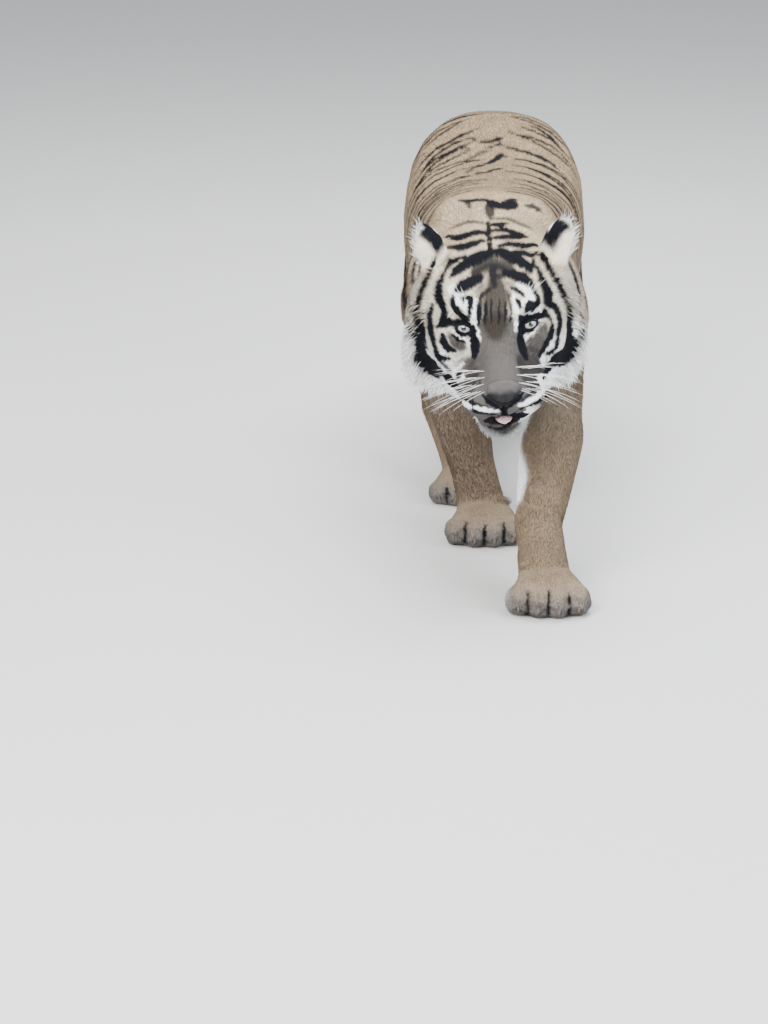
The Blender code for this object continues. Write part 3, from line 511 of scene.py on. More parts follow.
def ground_colour(points, shares):
    """The coat's colour between the stripes."""
    place = points - np.array(STAND)
    colours = trunk_ground(points, place, shares)
    colours = leg_ground(colours, points, place, shares)
    tail = group_share(shares, "tail")
    colours = mix(colours, GROUND["cream"], 0.75 * tail * smooth_ramp(1.45, 1.62, place[:, 1]))
    colours = head_ground(colours, points)
    colours *= (1 + 0.07 * mottle(points, 0.030, 13) + 0.05 * mottle(points, 0.010, 14))[:, None]
    return np.clip(colours, DARKEST, LIGHTEST)


def ear_colour(local):
    """An ear's colour: white hair in the hollow, black behind with a white spot."""
    back = 1.0 - in_hollow(local)
    colours = np.tile(GROUND["white"], (len(local), 1))
    black = back * smooth_ramp(0.016, 0.028, local[:, 2]) * smooth_ramp(-0.027, -0.017, local[:, 0])
    colours = mix(colours, GROUND["cream"], 0.6 * back)
    colours = mix(colours, INKS["black"][0], black)
    spot = np.linalg.norm((local[:, [0, 2]] - (0.026, 0.052)) / (0.011, 0.007), axis=1)
    return mix(colours, GROUND["white"], back * (1 - smooth_ramp(0.8, 1.1, spot)))


class Strokes:
    """Strokes laid on the skin, by ink, as points a little apart with a half width."""

    def __init__(self, skin, blank=False):
        self.tree = BVHTree.FromPolygons([vert.co for vert in skin.vertices],
                                         [face.vertices for face in skin.polygons])
        self.marks = {ink: [] for ink in INKS}
        self.random = random.Random(7)
        if blank:
            return
        self.add_face()
        self.add_trunk()
        self.add_legs()
        self.add_toe_shadows()
        self.add_tail()
        self.groups = {ink: self.by_width(marks) for ink, marks in self.marks.items()}

    @staticmethod
    def by_width(marks):
        """The marks in groups of much the same width, each with a tree to search it."""
        groups = []
        for low, high in zip(MARK_SIZES, MARK_SIZES[1:]):
            group = [mark for mark in marks if low <= mark[1] < high]
            if group:
                tree = KDTree(len(group))
                for index, (place, _) in enumerate(group):
                    tree.insert(place, index)
                tree.balance()
                groups.append((group, tree))
        return groups

    def lay(self, ink, stroke, drop, step=0.0025):
        """Lays a smooth line through the stroke's points, dropped on the skin."""
        line = smooth_line(stroke)
        for start, end in zip(line, line[1:]):
            first, last = drop(*start[:-1]), drop(*end[:-1])
            if first[0] is None or last[0] is None or (last[0] - first[0]).length > LONGEST_STEP:
                continue
            count = max(1, math.ceil((last[0] - first[0]).length / step))
            wider = self.widened(first[1], end[:2] - start[:2])
            for index in range(count):
                share = index / count
                width = (start[-1] + (end[-1] - start[-1]) * share) * wider
                self.marks[ink].append((first[0].lerp(last[0], share), 0.5 * width * MM))

    @staticmethod
    def widened(slope, way):
        """How much wider a stroke that runs a way on the face's plane is on the skin."""
        if slope is None or not np.any(way):
            return 1.0
        way = way / np.linalg.norm(way)
        downhill = slope[:2] / max(np.linalg.norm(slope[:2]), 1e-9)
        with_it = float(way @ downhill)
        facing = max(slope[2], FLATTEST)
        return 1.0 / math.sqrt(with_it ** 2 + facing ** 2 * (1 - with_it ** 2))

    def on_face(self, across, up):
        """The place on the face at centimetres across and up its plane, and how the skin
        slopes there: across, up and out of the plane."""
        out = Vector((0, -math.cos(FACE_TILT), math.sin(FACE_TILT)))
        place = Vector((across * CM, up * CM * math.sin(FACE_TILT), up * CM * math.cos(FACE_TILT)))
        start = HEAD @ (place + out)
        spot, normal, _, _ = self.tree.ray_cast(start, HEAD.to_3x3() @ -out, 1.4)
        if spot is None:
            return None, None
        normal = HEAD_INVERSE.to_3x3() @ normal
        slope = (normal.x, normal.dot((0, math.sin(FACE_TILT), math.cos(FACE_TILT))), normal.dot(out))
        return spot, np.array(slope)

    def on_trunk(self, y_cm, degrees):
        """The place on the trunk at a station and degrees round from the top."""
        out = Vector((math.sin(math.radians(degrees)), 0, math.cos(math.radians(degrees))))
        axis = STAND + Vector((0, y_cm * CM, TRUNK_AXIS))
        return self.tree.ray_cast(axis + out * TRUNK_REACH, -out, TRUNK_REACH)[0], None

    def on_bone(self, name, share, degrees, reach=1.6):
        """The place on a limb at a share along its bone and degrees round from the front."""
        start, end = (Vector(place) + STAND for place in BONES[name][:2])
        along = (end - start).normalized()
        front = (Vector((0, -1, 0)) - along * along.dot((0, -1, 0))).normalized()
        side = along.cross(front)
        if side.x * (-1 if name.endswith("right") else 1) < 0:
            side.negate()
        angle = math.radians(degrees)
        out = front * math.cos(angle) + side * math.sin(angle)
        middle = start.lerp(end, share)
        far = BONES[name][2] * reach
        return self.tree.ray_cast(middle + out * far, -out, far)[0], None

    def add_face(self):
        for ink, strokes in FACE_STROKES.items():
            for stroke in strokes:
                self.lay(ink, with_widths(*stroke), self.on_face)

    def add_trunk(self):
        for ink, strokes in TRUNK_STROKES.items():
            for stroke in strokes:
                along = abs(stroke[-1][0] - stroke[0][0])
                across = abs(stroke[-1][1] - stroke[0][1]) * TRUNK_CM_PER_DEGREE
                wider = WITHERS_WIDER if across > along else BACK_WIDER
                self.lay(ink, [(y, degrees, wider * width) for y, degrees, width in stroke],
                         self.on_trunk)
        draw = self.random
        for side, first in ((1, 52.0), (-1, 55.0)):
            station = first
            while station < 129:
                foot = draw.uniform(92, 128) if station < 98 else draw.uniform(52, 66)
                self.add_loop(station, side, draw.uniform(4, 20), foot)
                station += draw.uniform(5.2, 7.4)
        for side, first in ((1, 58), (-1, 61)):     # short ones that rise from the belly
            for station in range(first, 104, 8):
                self.add_loop(station + draw.uniform(-2, 2), side, draw.uniform(86, 98),
                              draw.uniform(128, 150))
        for side in (1, -1):
            for station in range(26, 48, 6):
                self.add_loop(station, side, draw.uniform(48, 60), draw.uniform(95, 115))

    def add_loop(self, station, side, top, foot):
        """A long narrow loop round one side, as two thin stripes that meet at the ends."""
        draw = self.random
        slant = draw.uniform(-9.0, -5.0) - 3.5 * (side < 0) + 0.30 * max(station - 105, 0)
        spread = draw.choice((0.0, 1.2, 1.5, 1.7)) * draw.uniform(0.8, 1.2)
        wave = draw.uniform(0, 6.28)
        width = draw.uniform(11.0, 16.0)
        for edge in ((-1, 1) if spread else (0,)):
            stroke = []
            steps = 9
            for index in range(steps + 1):
                share = index / steps
                swell = swelling(share)
                y = station + slant * share + edge * spread * swell
                y += 0.7 * math.sin(wave + 5 * share + edge)
                wide = width * (1.25 - 0.35 * abs(edge)) * max(swell, 0.25)
                stroke.append((y, side * (top + (foot - top) * share), wide))
            self.lay("black", stroke, self.on_trunk)

    def add_legs(self):
        for _, word in SIDES:
            for part, bars in LEG_BARS.items():
                name = f"{part}_{word}"
                for share, start, end, width in bars:
                    lean = self.random.uniform(-0.06, 0.10)
                    stroke = []
                    for index in range(8):
                        along = index / 7
                        swell = max(swelling(along), 0.25)
                        stroke.append((share + lean * along, start + (end - start) * along,
                                       LEG_WIDER * width * swell))
                    self.lay("black", stroke, lambda s, d, name=name: self.on_bone(name, s, d))

    def on_paw(self, across, back, height):
        """The place on the front of a paw at a height over the floor."""
        start = STAND + Vector((across, back - 0.05, height + 0.03))
        return self.tree.ray_cast(start, Vector((0, 1, -0.45)).normalized(), 0.15)[0], None

    def add_toe_shadows(self):
        for (across, back), size in PAWS.values():
            for gap in TOE_GAPS:
                # painted shadow in the gaps between the toes, laid as black ink
                stroke = [(height * size, width) for height, width in TOE_GAP_SHADOW]
                self.lay("black", stroke,
                         lambda height, x=across + gap * size, y=back: self.on_paw(x, y, height))

    def add_tail(self):
        bones = [name for name in BONE_NAMES if name.startswith("tail")]
        lengths = [(Vector(BONES[name][1]) - Vector(BONES[name][0])).length for name in bones]
        for place, width in TAIL_RINGS:
            far = place * sum(lengths)
            for name, length in zip(bones, lengths):
                if far <= length:
                    break
                far -= length
            stroke = [(far / length, degrees, width * (0.75 + 0.25 * math.cos(math.radians(degrees))))
                      for degrees in range(-150, 151, 25)]
            self.lay("black", stroke, lambda s, d, name=name: self.on_bone(name, s, d, 2.2))

    def cover(self, ink, points):
        """How much of the ink there is at each point."""
        soft = INKS[ink][1] * MM
        share = np.full(len(points), -1.0)
        for group, tree in self.groups[ink]:
            halves = [half * INKS[ink][3] for _, half in group]
            for row in np.nonzero(self.near(group, points, max(halves) + soft))[0]:
                inside = max(halves[index] - distance
                             for _, index, distance in tree.find_n(points[row], 3))
                share[row] = max(share[row], inside)
        return np.clip(share / soft + 0.5, 0.0, 1.0) * INKS[ink][2]

    @staticmethod
    def near(marks, points, reach):
        """Which points are in or beside a cell of the space that holds a mark."""
        places = np.array([place for place, _ in marks])
        around = np.array([(x, y, z) for x in (-1, 0, 1) for y in (-1, 0, 1) for z in (-1, 0, 1)])
        code = np.array((1, 4096, 4096 ** 2))
        cells = (np.floor(places / reach).astype(int)[:, None, :] + around[None]).reshape(-1, 3)
        return np.isin(np.floor(points / reach).astype(int) @ code, np.unique(cells @ code))

    def colour(self, points):
        """The colour of the coat and of the skin under it at each point."""
        shares = bone_shares(points)
        colours = ground_colour(points, shares)
        jitter = points + 0.0012 * np.stack([mottle(points, 0.004, seed) for seed in (1, 2, 3)], 1)
        for ink, settings in INKS.items():
            if self.marks[ink]:
                colours = mix(colours, settings[0], self.cover(ink, jitter))
        tip = points - np.array(STAND)
        black = smooth_ramp(*TAIL_TIP, tip[:, 1]) * group_share(shares, "tail")
        colours = mix(colours, INKS["black"][0], black)
        return face_details(points, colours)


def swelling(share):
    """A stroke's width along it: 1 in the middle, 0 at its ends."""
    return math.sin(math.pi * share) ** 0.6


def with_widths(width, *points):
    """A stroke's points, each with a width: its own, or the stroke's, or less at an end."""
    last = len(points) - 1
    return [point if len(point) == 3 else (*point, width * (0.6 if index in (0, last) else 1.0))
            for index, point in enumerate(points)]


def smooth_line(stroke, steps=4):
    """A stroke's points with more between them on a smooth curve."""
    rows = [np.array(row, float) for row in stroke]
    if len(rows) == 1:
        rows = rows * 2
    rows = [2 * rows[0] - rows[1]] + rows + [2 * rows[-1] - rows[-2]]
    line = []
    for before, start, end, after in zip(rows, rows[1:], rows[2:], rows[3:]):
        for index in range(steps):
            t = index / steps
            line.append(0.5 * (2 * start + (end - before) * t
                               + (2 * before - 5 * start + 4 * end - after) * t ** 2
                               + (3 * start - before - 3 * end + after) * t ** 3))
    line.append(rows[-2])
    return line


# ------------------------------------------------------------------ mesh helpers
def new_object(name, work):
    """Makes an object of a bmesh and frees it."""
    mesh = bpy.data.meshes.new(name)
    work.to_mesh(mesh)
    work.free()
    obj = bpy.data.objects.new(name, mesh)
    bpy.context.scene.collection.objects.link(obj)
    return obj


def copy_node(node, name):
    """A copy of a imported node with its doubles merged."""
    work = bmesh.new()
    work.from_mesh(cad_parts[node].data)
    bmesh.ops.remove_doubles(work, verts=work.verts, dist=1e-6)
    return new_object(name, work)


def apply_modifiers(obj):
    """Replaces the object's mesh by what its modifiers make of it."""
    depsgraph = bpy.context.evaluated_depsgraph_get()
    mesh = bpy.data.meshes.new_from_object(obj.evaluated_get(depsgraph), depsgraph=depsgraph)
    obj.modifiers.clear()
    old = obj.data
    obj.data = mesh
    bpy.data.meshes.remove(old)


def add_modifier(obj, kind, **settings):
    """Adds a modifier with its settings."""
    modifier = obj.modifiers.new(kind.lower(), kind)
    for name, value in settings.items():
        setattr(modifier, name, value)
    return modifier


def join(objects, name):
    """One object of several, whose meshes sit where they are."""
    work = bmesh.new()
    for obj in objects:
        work.from_mesh(obj.data)
        bpy.data.objects.remove(obj)
    return new_object(name, work)


def places_of(mesh):
    """The places of a mesh's vertices, as rows."""
    rows = np.empty(len(mesh.vertices) * 3)
    mesh.vertices.foreach_get("co", rows)
    return rows.reshape(-1, 3)


def normals_of(mesh):
    """The normals of a mesh's vertices, as rows."""
    rows = np.empty(len(mesh.vertices) * 3)
    mesh.vertex_normals.foreach_get("vector", rows)
    return rows.reshape(-1, 3)


def move_to(mesh, rows):
    """Moves a mesh's vertices."""
    mesh.vertices.foreach_set("co", rows.ravel())
    mesh.update()


def weigh(obj, name, weights):
    """A vertex group of the weights, in steps of a twentieth."""
    group = obj.vertex_groups.new(name=name)
    steps = np.round(np.asarray(weights) * 20).astype(int)
    for step in np.unique(steps):
        if step > 0:
            group.add(np.nonzero(steps == step)[0].tolist(), step / 20, "REPLACE")


def shade_smooth(obj):
    """Smooth shading on every face."""
    obj.data.polygons.foreach_set("use_smooth", [True] * len(obj.data.polygons))


def set_colours(mesh, colours):
    """Stores a colour for each vertex, as the attribute "tint"."""
    attribute = mesh.attributes.new("tint", "FLOAT_COLOR", "POINT")
    rows = np.ones((len(mesh.vertices), 4), dtype=np.float32)
    rows[:, :3] = colours
    attribute.data.foreach_set("color", rows.ravel())


def finish_piece(obj, material, slot, *replaced):
    """Gives a finished piece its material and body; its slot is not used."""
    obj.data.materials.clear()
    obj.data.materials.append(material)
    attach(obj, "root")
    if replaced:
        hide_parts(*replaced)


# ------------------------------------------------------------------ materials
class Sum:
    """A shader value that Python's operators work on."""

    def __init__(self, nodes, socket):
        self.nodes = nodes
        self.socket = socket

    def math(self, operation, *others):
        values = {0: self, **dict(enumerate(others, 1))}
        return self.nodes.add("ShaderNodeMath", {"operation": operation}, values, 0)

    def __add__(self, other):
        return self.math("ADD", other)

    def __sub__(self, other):
        return self.math("SUBTRACT", other)

    def __mul__(self, other):
        return self.math("MULTIPLY", other)

    __radd__ = __add__
    __rmul__ = __mul__


class Nodes:
    """The node tree of a new material."""

    def __init__(self, name):
        self.material = bpy.data.materials.new(name)
        self.material.use_nodes = True
        self.tree = self.material.node_tree
        self.shader = self.tree.nodes["Principled BSDF"]

    def add(self, kind, settings=None, values=None, output=0):
        """A node with its settings, then its sockets' values or links."""
        node = self.tree.nodes.new(kind)
        for name, value in (settings or {}).items():
            if name == "stops":
                for _ in value[2:]:
                    node.color_ramp.elements.new(0.5)
                for element, (place, colour) in zip(node.color_ramp.elements, value):
                    element.position = place
                    element.color = colour
            else:
                setattr(node, name, value)
        for name, value in (values or {}).items():
            self.plug(node.inputs[name], value)
        return Sum(self, node.outputs[output])

    def plug(self, socket, value):
        """Sets or links a socket."""
        if isinstance(value, Sum):
            self.tree.links.new(value.socket, socket)
        else:
            socket.default_value = value

    def shade(self, **values):
        """Sets or links the shader's own sockets; _ stands for a space."""
        for name, value in values.items():
            self.plug(self.shader.inputs[name.replace("_", " ")], value)

    def place(self):
        """The place on the object."""
        return self.add("ShaderNodeTexCoord", output="Object")

    def noise(self, scale, detail=3.0, place=None):
        """Noise of about 0 to 1."""
        return self.add("ShaderNodeTexNoise", None, {
            "Vector": place or self.place(), "Scale": scale, "Detail": detail})

    def mix(self, first, second, share, blend="MIX"):
        """Two colours mixed by a share."""
        return self.add("ShaderNodeMix", {"data_type": "RGBA", "blend_type": blend},
                        {0: share, 6: first, 7: second}, 2)

    def tinted(self, noise, least):
        """The mesh's own colour, from least to half as much again by the noise."""
        tint = self.add("ShaderNodeVertexColor", {"layer_name": "tint"})
        level = noise * 0.5 + least
        grey = self.add("ShaderNodeCombineColor", None, {"Red": level, "Green": level, "Blue": level})
        return self.mix(tint, grey, 1.0, "MULTIPLY")

    def bump(self, height, distance, strength=1.0):
        """A bump of the height over the distance."""
        return self.add("ShaderNodeBump", None, {
            "Height": height, "Distance": distance, "Strength": strength})


def coat_material(name, roughness):
    """Hair that takes its colour from the mesh, a little uneven."""
    nodes = Nodes(name)
    nodes.shade(Base_Color=nodes.tinted(nodes.noise(420.0, 2.0), 0.75), Roughness=roughness,
                Specular_IOR_Level=0.06)
    return nodes.material


def skin_material():
    """The short flat hair over the skin."""
    nodes = Nodes("short hair")
    fine = nodes.noise(900.0, 3.0)
    nodes.shade(Base_Color=nodes.tinted(fine, 0.70), Roughness=0.75, Specular_IOR_Level=0.05,
                Normal=nodes.bump(fine, 0.0012, 0.7))
    return nodes.material


# ------------------------------------------------------------------ the skin
def flesh_nodes():
    """The nodes that the skin stands for."""
    apart = ("eye", "tongue", "nose", "fore_claw", "hind_claw")
    return [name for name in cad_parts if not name.startswith(apart)]


def eye_local(points, side):
    """Points in an eye's frame: across and up its ball, the distance from its middle, and
    how far back they are."""
    local = as_rows(gaze_frame(side).inverted(), points)
    away = np.linalg.norm(local, axis=1)
    on_ball = local / np.maximum(away, 1e-9)[:, None] * EYE_RADIUS
    return on_ball[:, 0] * side, on_ball[:, 2], away, local[:, 1]


def lid_level(across, up):
    """1 on the rim of the eyelids, less in the opening."""
    tilted = up - 0.16 * across + 0.0006
    half = np.where(tilted > 0, 0.0047, 0.0050)
    return (np.abs(across / 0.0128) ** 1.6 + np.abs(tilted / half) ** 1.6) ** (1 / 1.6)


def join_flesh():
    """All the flesh as one closed surface, the eyeballs' places bulging under it."""
    pieces = []
    for name in flesh_nodes():
        piece = copy_node(name, name + " copy")
        move_to(piece.data, places_of(piece.data) + SKIN_OVERLAP * normals_of(piece.data))
        pieces.append(piece)
    for side, _ in SIDES:
        work = bmesh.new()
        middle = HEAD @ Vector((EYE_MIDDLE.x * side, EYE_MIDDLE.y, EYE_MIDDLE.z))
        bmesh.ops.create_icosphere(work, subdivisions=4, radius=EYE_RADIUS + 0.0030,
                                   matrix=Matrix.Translation(middle))
        pieces.append(new_object("eye filling", work))
    for _, word in SIDES:
        pieces.append(dewclaw_root(word))
    skin = join(pieces, "skin")
    add_modifier(skin, "REMESH", mode="VOXEL", voxel_size=SKIN_GRAIN)
    apply_modifiers(skin)
    return skin


def dewclaw_root(word):
    """A row of small balls of flesh from a foreleg's fifth claw into the leg."""
    claw = middle_of(f"fore_claw_{word}_5")
    start, end = (Vector(place) + STAND for place in BONES[f"fore_paw_{word}"][:2])
    along = (end - start).normalized()
    share = min(max((claw - start).dot(along), 0.0), (end - start).length)
    inward = (start + along * share - claw).normalized()
    work = bmesh.new()
    for step in range(6):
        place = claw + inward * (0.001 + 0.006 * step)
        bmesh.ops.create_icosphere(work, subdivisions=2, radius=0.0055 + 0.0012 * step,
                                   matrix=Matrix.Translation(place))
    return new_object(f"dewclaw root {word}", work)


def thin_body(skin):
    """Fewer faces away from the head and feet, then finer ones round the eyes and mouth."""
    points = places_of(skin.data)
    shares = bone_shares(points)
    head = head_share(points)
    feet = group_share(shares, "fore_paw", "hind_paw")
    trunk = group_share(shares, "neck", "chest", "barrel", "rump", "upper_arm", "thigh") * (1 - head)
    weigh(skin, "trunk", smooth_ramp(0.3, 0.8, trunk))
    smooth = (1.0 - 0.70 * head - 0.60 * feet * (1 - head)) * (1 - near_claws(points))
    weigh(skin, "smooth", smooth)
    add_modifier(skin, "SMOOTH", factor=0.5, iterations=TRUNK_SMOOTHING, vertex_group="trunk")
    add_modifier(skin, "SMOOTH", factor=0.5, iterations=SKIN_SMOOTHING, vertex_group="smooth")
    apply_modifiers(skin)
    skin.vertex_groups.clear()
    weigh(skin, "coarse", np.clip(1.0 - 0.92 * head - 0.5 * feet, 0.03, 1.0))
    count = sum(len(face.vertices) - 2 for face in skin.data.polygons)
    add_modifier(skin, "DECIMATE", ratio=SKIN_FACES / count, vertex_group="coarse")
    apply_modifiers(skin)
    skin.vertex_groups.clear()
    split_long(skin, LONGEST_EDGE)
    points = places_of(skin.data)
    weigh(skin, "trunk", (1 - head_share(points)) * (points[:, 2] > 0.18))
    add_modifier(skin, "SMOOTH", factor=0.5, iterations=6, vertex_group="trunk")
    apply_modifiers(skin)
    skin.vertex_groups.clear()
    refine(skin, lambda local: (local[:, 1] < 0.165) & (local[:, 2] > -0.09)
           & (np.abs(local[:, 0]) < 0.085))
    refine(skin, lambda local: near_eyes(local, 0.021) | near_mouth(local))


def split_long(skin, longest):
    """Halves edges until few are longer than the given length."""
    work = bmesh.new()
    work.from_mesh(skin.data)
    for _ in range(4):
        edges = [edge for edge in work.edges if edge.calc_length() > longest]
        bmesh.ops.subdivide_edges(work, edges=edges, cuts=1)
        bmesh.ops.triangulate(work, faces=work.faces)
    work.to_mesh(skin.data)
    work.free()


def claw_nodes():
    """The names of all the claws' nodes."""
    return [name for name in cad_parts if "_claw_" in name]


def near_claws(points):
    """1 beside a claw, 0 away from them all."""
    nearest = np.min([np.linalg.norm(points - np.array(middle_of(name)), axis=1)
                      for name in claw_nodes()], axis=0)
    return smooth_ramp(0.020, 0.011, nearest)


def near_eyes(local, reach):
    """Which points of the head are near an eye."""
    middle = np.array(EYE_MIDDLE)
    away = np.stack([np.abs(local[:, 0]), local[:, 1], local[:, 2]], 1) - middle
    return np.linalg.norm(away, axis=1) < reach


def near_mouth(local):
    """Which points of the head are at the lips."""
    return ((local[:, 1] < 0.050) & (np.abs(local[:, 0]) < 0.038)
            & (local[:, 2] > -0.072) & (local[:, 2] < -0.032))


def refine(skin, picks):
    """Halves the edges where the rule picks both ends."""
    picked = picks(as_rows(HEAD_INVERSE, places_of(skin.data)))
    work = bmesh.new()
    work.from_mesh(skin.data)
    edges = [edge for edge in work.edges
             if picked[edge.verts[0].index] and picked[edge.verts[1].index]]
    bmesh.ops.subdivide_edges(work, edges=edges, cuts=1, use_grid_fill=True, smooth=0.0)
    bmesh.ops.triangulate(work, faces=work.faces)
    work.to_mesh(skin.data)
    work.free()


def coat_depth(points):
    """How deep the skin lies under the tips of the coat."""
    shares = bone_shares(points)
    length = shares @ BONE_SIZES[:, 1]
    lift = np.radians(shares @ BONE_SIZES[:, 3])
    depth = length * np.sin(lift) * COAT_SHARE
    local = as_rows(HEAD_INVERSE, points)
    wide, back, height = np.abs(local[:, 0]), local[:, 1], local[:, 2]
    face = 0.0012 + 0.0035 * smooth_ramp(0.10, 0.20, back)
    face += 0.0085 * smooth_ramp(0.19, 0.27, back) * smooth_ramp(0.05, -0.02, height)    # ruff
    face += 0.0030 * smooth_ramp(-0.060, -0.085, height)                                # chin
    face += 0.0080 * smooth_ramp(0.085, 0.125, wide) * smooth_ramp(0.02, -0.05, height)  # cheeks
    head = head_share(points)
    depth += (face - depth) * head
    arm = group_share(shares, "upper_arm") * (1 - head)
    depth += 0.012 * arm * smooth_ramp(0.125, 0.165, np.abs(points[:, 0] - STAND.x))
    paws = group_share(shares, "fore_paw", "hind_paw")
    floor = smooth_ramp(0.004, 0.030, points[:, 2])
    depth *= (1 - 0.4 * paws) * np.where(paws > 0.5, floor, 1.0)
    return depth * (1 - 0.8 * near_claws(points))


def groove(points, normals, line, width, depth):
    """Sinks the points near a line on the face by up to depth."""
    path = KDTree(len(line))
    for index, place in enumerate(line):
        path.insert(place, index)
    path.balance()
    for row in np.nonzero(head_share(points) > 0.5)[0]:
        distance = path.find(points[row])[2]
        if distance < width * 2:
            points[row] -= normals[row] * depth * math.exp(-(distance / width) ** 2)


def face_line(marks, points):
    """Places every millimetre or so along a line given on the face's plane."""
    smooth = smooth_line(points, 6)
    places = [marks.on_face(across, up)[0] for across, up in smooth]
    return [place for place in places if place is not None]


FACE_GROOVES = [    # points on the face's plane in centimetres, half width and depth in mm
    ([(-5.0, -1.9), (-3.6, -2.5), (-2.0, -2.8), (-0.7, -3.1), (0.1, -3.3)], 1.8, 2.6),
    ([(7.4, 0.3), (5.4, -1.3), (4.0, -1.9), (2.4, -2.5), (1.2, -3.1), (0.1, -3.3)], 1.8, 2.6),
    ([(-0.2, -1.6), (-0.1, -2.4), (0.1, -3.2)], 1.7, 2.2),
    ([(-5.6, 13.0), (-4.6, 12.6), (-3.9, 11.2), (-4.0, 9.8)], 2.6, 1.3),
    ([(3.9, 12.7), (3.6, 11.2), (3.6, 9.8)], 2.6, 1.3),
    ([(-8.0, 13.8), (-6.8, 14.6), (-5.4, 14.7), (-4.2, 14.0)], 2.4, 1.3),
    ([(4.0, 14.3), (5.4, 14.8), (7.0, 14.9), (8.2, 14.4)], 2.4, 1.3),
    ([(-7.6, 10.9), (-6.4, 9.9), (-5.2, 9.6), (-4.6, 9.4)], 2.4, 1.0),
    ([(7.8, 11.4), (6.6, 10.2), (5.4, 9.8), (4.6, 9.6)], 2.4, 1.0),
]


def mouth_level(local, wide, high):
    """1 in the middle of the gap between the lips, 0 on its rim, less outside."""
    return 1.0 - (local[:, 0] / wide) ** 2 - ((local[:, 2] - GAP_HEIGHT) / high) ** 2


def open_mouth(local):
    """Pushes the lips back where the tongue comes out, in the head's frame."""
    pull = smooth_ramp(0.0, 0.35, mouth_level(local, GAP_WIDTH, 0.0095)) * (local[:, 1] < LIPS_BACK)
    local[:, 1] += 0.012 * pull * np.clip(1 - (local[:, 0] / GAP_WIDTH) ** 2, 0, 1)


def open_eye(points, side):
    """Draws the skin round an eye into lids, with a pocket for the eyeball inside them."""
    across, up, away, ahead = eye_local(points, side)
    level = lid_level(across, up)
    rim = (np.abs(level - 1.0) < 0.13) & (away < LID_REACH) & (ahead < 0.002)
    scale = np.where(rim, 1.0 / level, 1.0)
    radius = np.where(level < 0.93, POCKET_RADIUS, LID_RADIUS)
    reach = 1.0 - smooth_ramp(1.25, 2.5, level)
    near = (away < LID_REACH + 0.002) & (ahead < 0.0)
    grown = np.where(near, away + (radius - away) * np.where(level < 1.1, 1.0, reach), away)
    ways = as_rows(gaze_frame(side).inverted(), points) / np.maximum(away, 1e-9)[:, None]
    ways = unit(ways * np.stack([scale, np.ones(len(ways)), scale], 1))
    moved = as_rows(gaze_frame(side), ways * grown[:, None])
    points[near] = moved[near]


def shape_face(skin):
    """The mouth, the folds of the face, the opening for the tongue and the eyelids."""
    marks = Strokes(skin.data, blank=True)
    points, normals = places_of(skin.data), normals_of(skin.data)
    for line, width, depth in FACE_GROOVES:
        groove(points, normals, face_line(marks, line), width * MM, depth * MM)
    local = as_rows(HEAD_INVERSE, points)
    open_mouth(local)
    points = as_rows(HEAD, local)
    for side, _ in SIDES:
        open_eye(points, side)
    move_to(skin.data, points)


@functools.cache
def strokes():
    """The markings, laid on the finished skin."""
    return Strokes(bpy.data.objects["skin"].data)


def face_details(points, colours):
    """The dark rims of the eyes, and the skin of the mouth."""
    for side, _ in SIDES:
        across, up, away, ahead = eye_local(points, side)
        rim = 1.0 - smooth_ramp(1.38, 1.60, lid_level(across, up))
        colours = mix(colours, (0.010, 0.011, 0.014), rim * (away < LID_REACH) * (ahead < 0))
    local = as_rows(HEAD_INVERSE, points)
    inside = smooth_ramp(0.0, 0.3, mouth_level(local, 0.026, 0.0100)) * (local[:, 1] < LIPS_BACK)
    return mix(colours, (0.012, 0.010, 0.011), inside)


def make_skin():
    """The skin of the whole animal."""
    skin = join_flesh()
    thin_body(skin)
    points = places_of(skin.data)
    sunk = points - normals_of(skin.data) * coat_depth(points)[:, None]
    sunk[:, 2] = np.maximum(sunk[:, 2], 0.0)
    move_to(skin.data, sunk)
    shape_face(skin)
    shade_smooth(skin)
    points = places_of(skin.data)
    # the skin's colour darkened as painted shade under the tufts
    set_colours(skin.data, strokes().colour(points) * SKIN_PAINTED_SHADE)
    finish_piece(skin, skin_material(), "coat", *flesh_nodes())


# ------------------------------------------------------------------ the coat
COVER = 1.9         # how many tufts lie over each spot
HEAD_COVER = 1.3    # times as many on the head
COAT_SEED = 41
PATCH = 0.0015      # half the size of a tuft on its map
EAR_HAIR = (0.008, 1.2, 14)     # length, width in millimetres, lift in degrees
PIECE_TUFTS = 65000
# painted shade at the roots of the tufts and painted light at their tips
ROOT_PAINTED_SHADE, TIP_PAINTED_LIGHT = 0.84, 1.08
TUFT_SPREAD = {"length": (0.75, 1.20), "width": (0.75, 1.25), "lift": (0.6, 1.45), "turn": 6}
LOCK_SPREAD = {"length": (0.60, 1.15), "width": (0.60, 1.20), "lift": (0.5, 1.30), "turn": 10}
LOCKS = {   # length, width, lift in degrees, how far it falls, how many per side
    "ruff": (0.024, 0.0028, 17, 0.40, 2600),
    "chin": (0.010, 0.0018, 34, 0.25, 420),
    "ear": (0.026, 0.0020, 38, 0.10, 330),
    "belly": (0.030, 0.0042, 16, 0.30, 800),
    "tail": (0.026, 0.0036, 20, 0.20, 700),
}


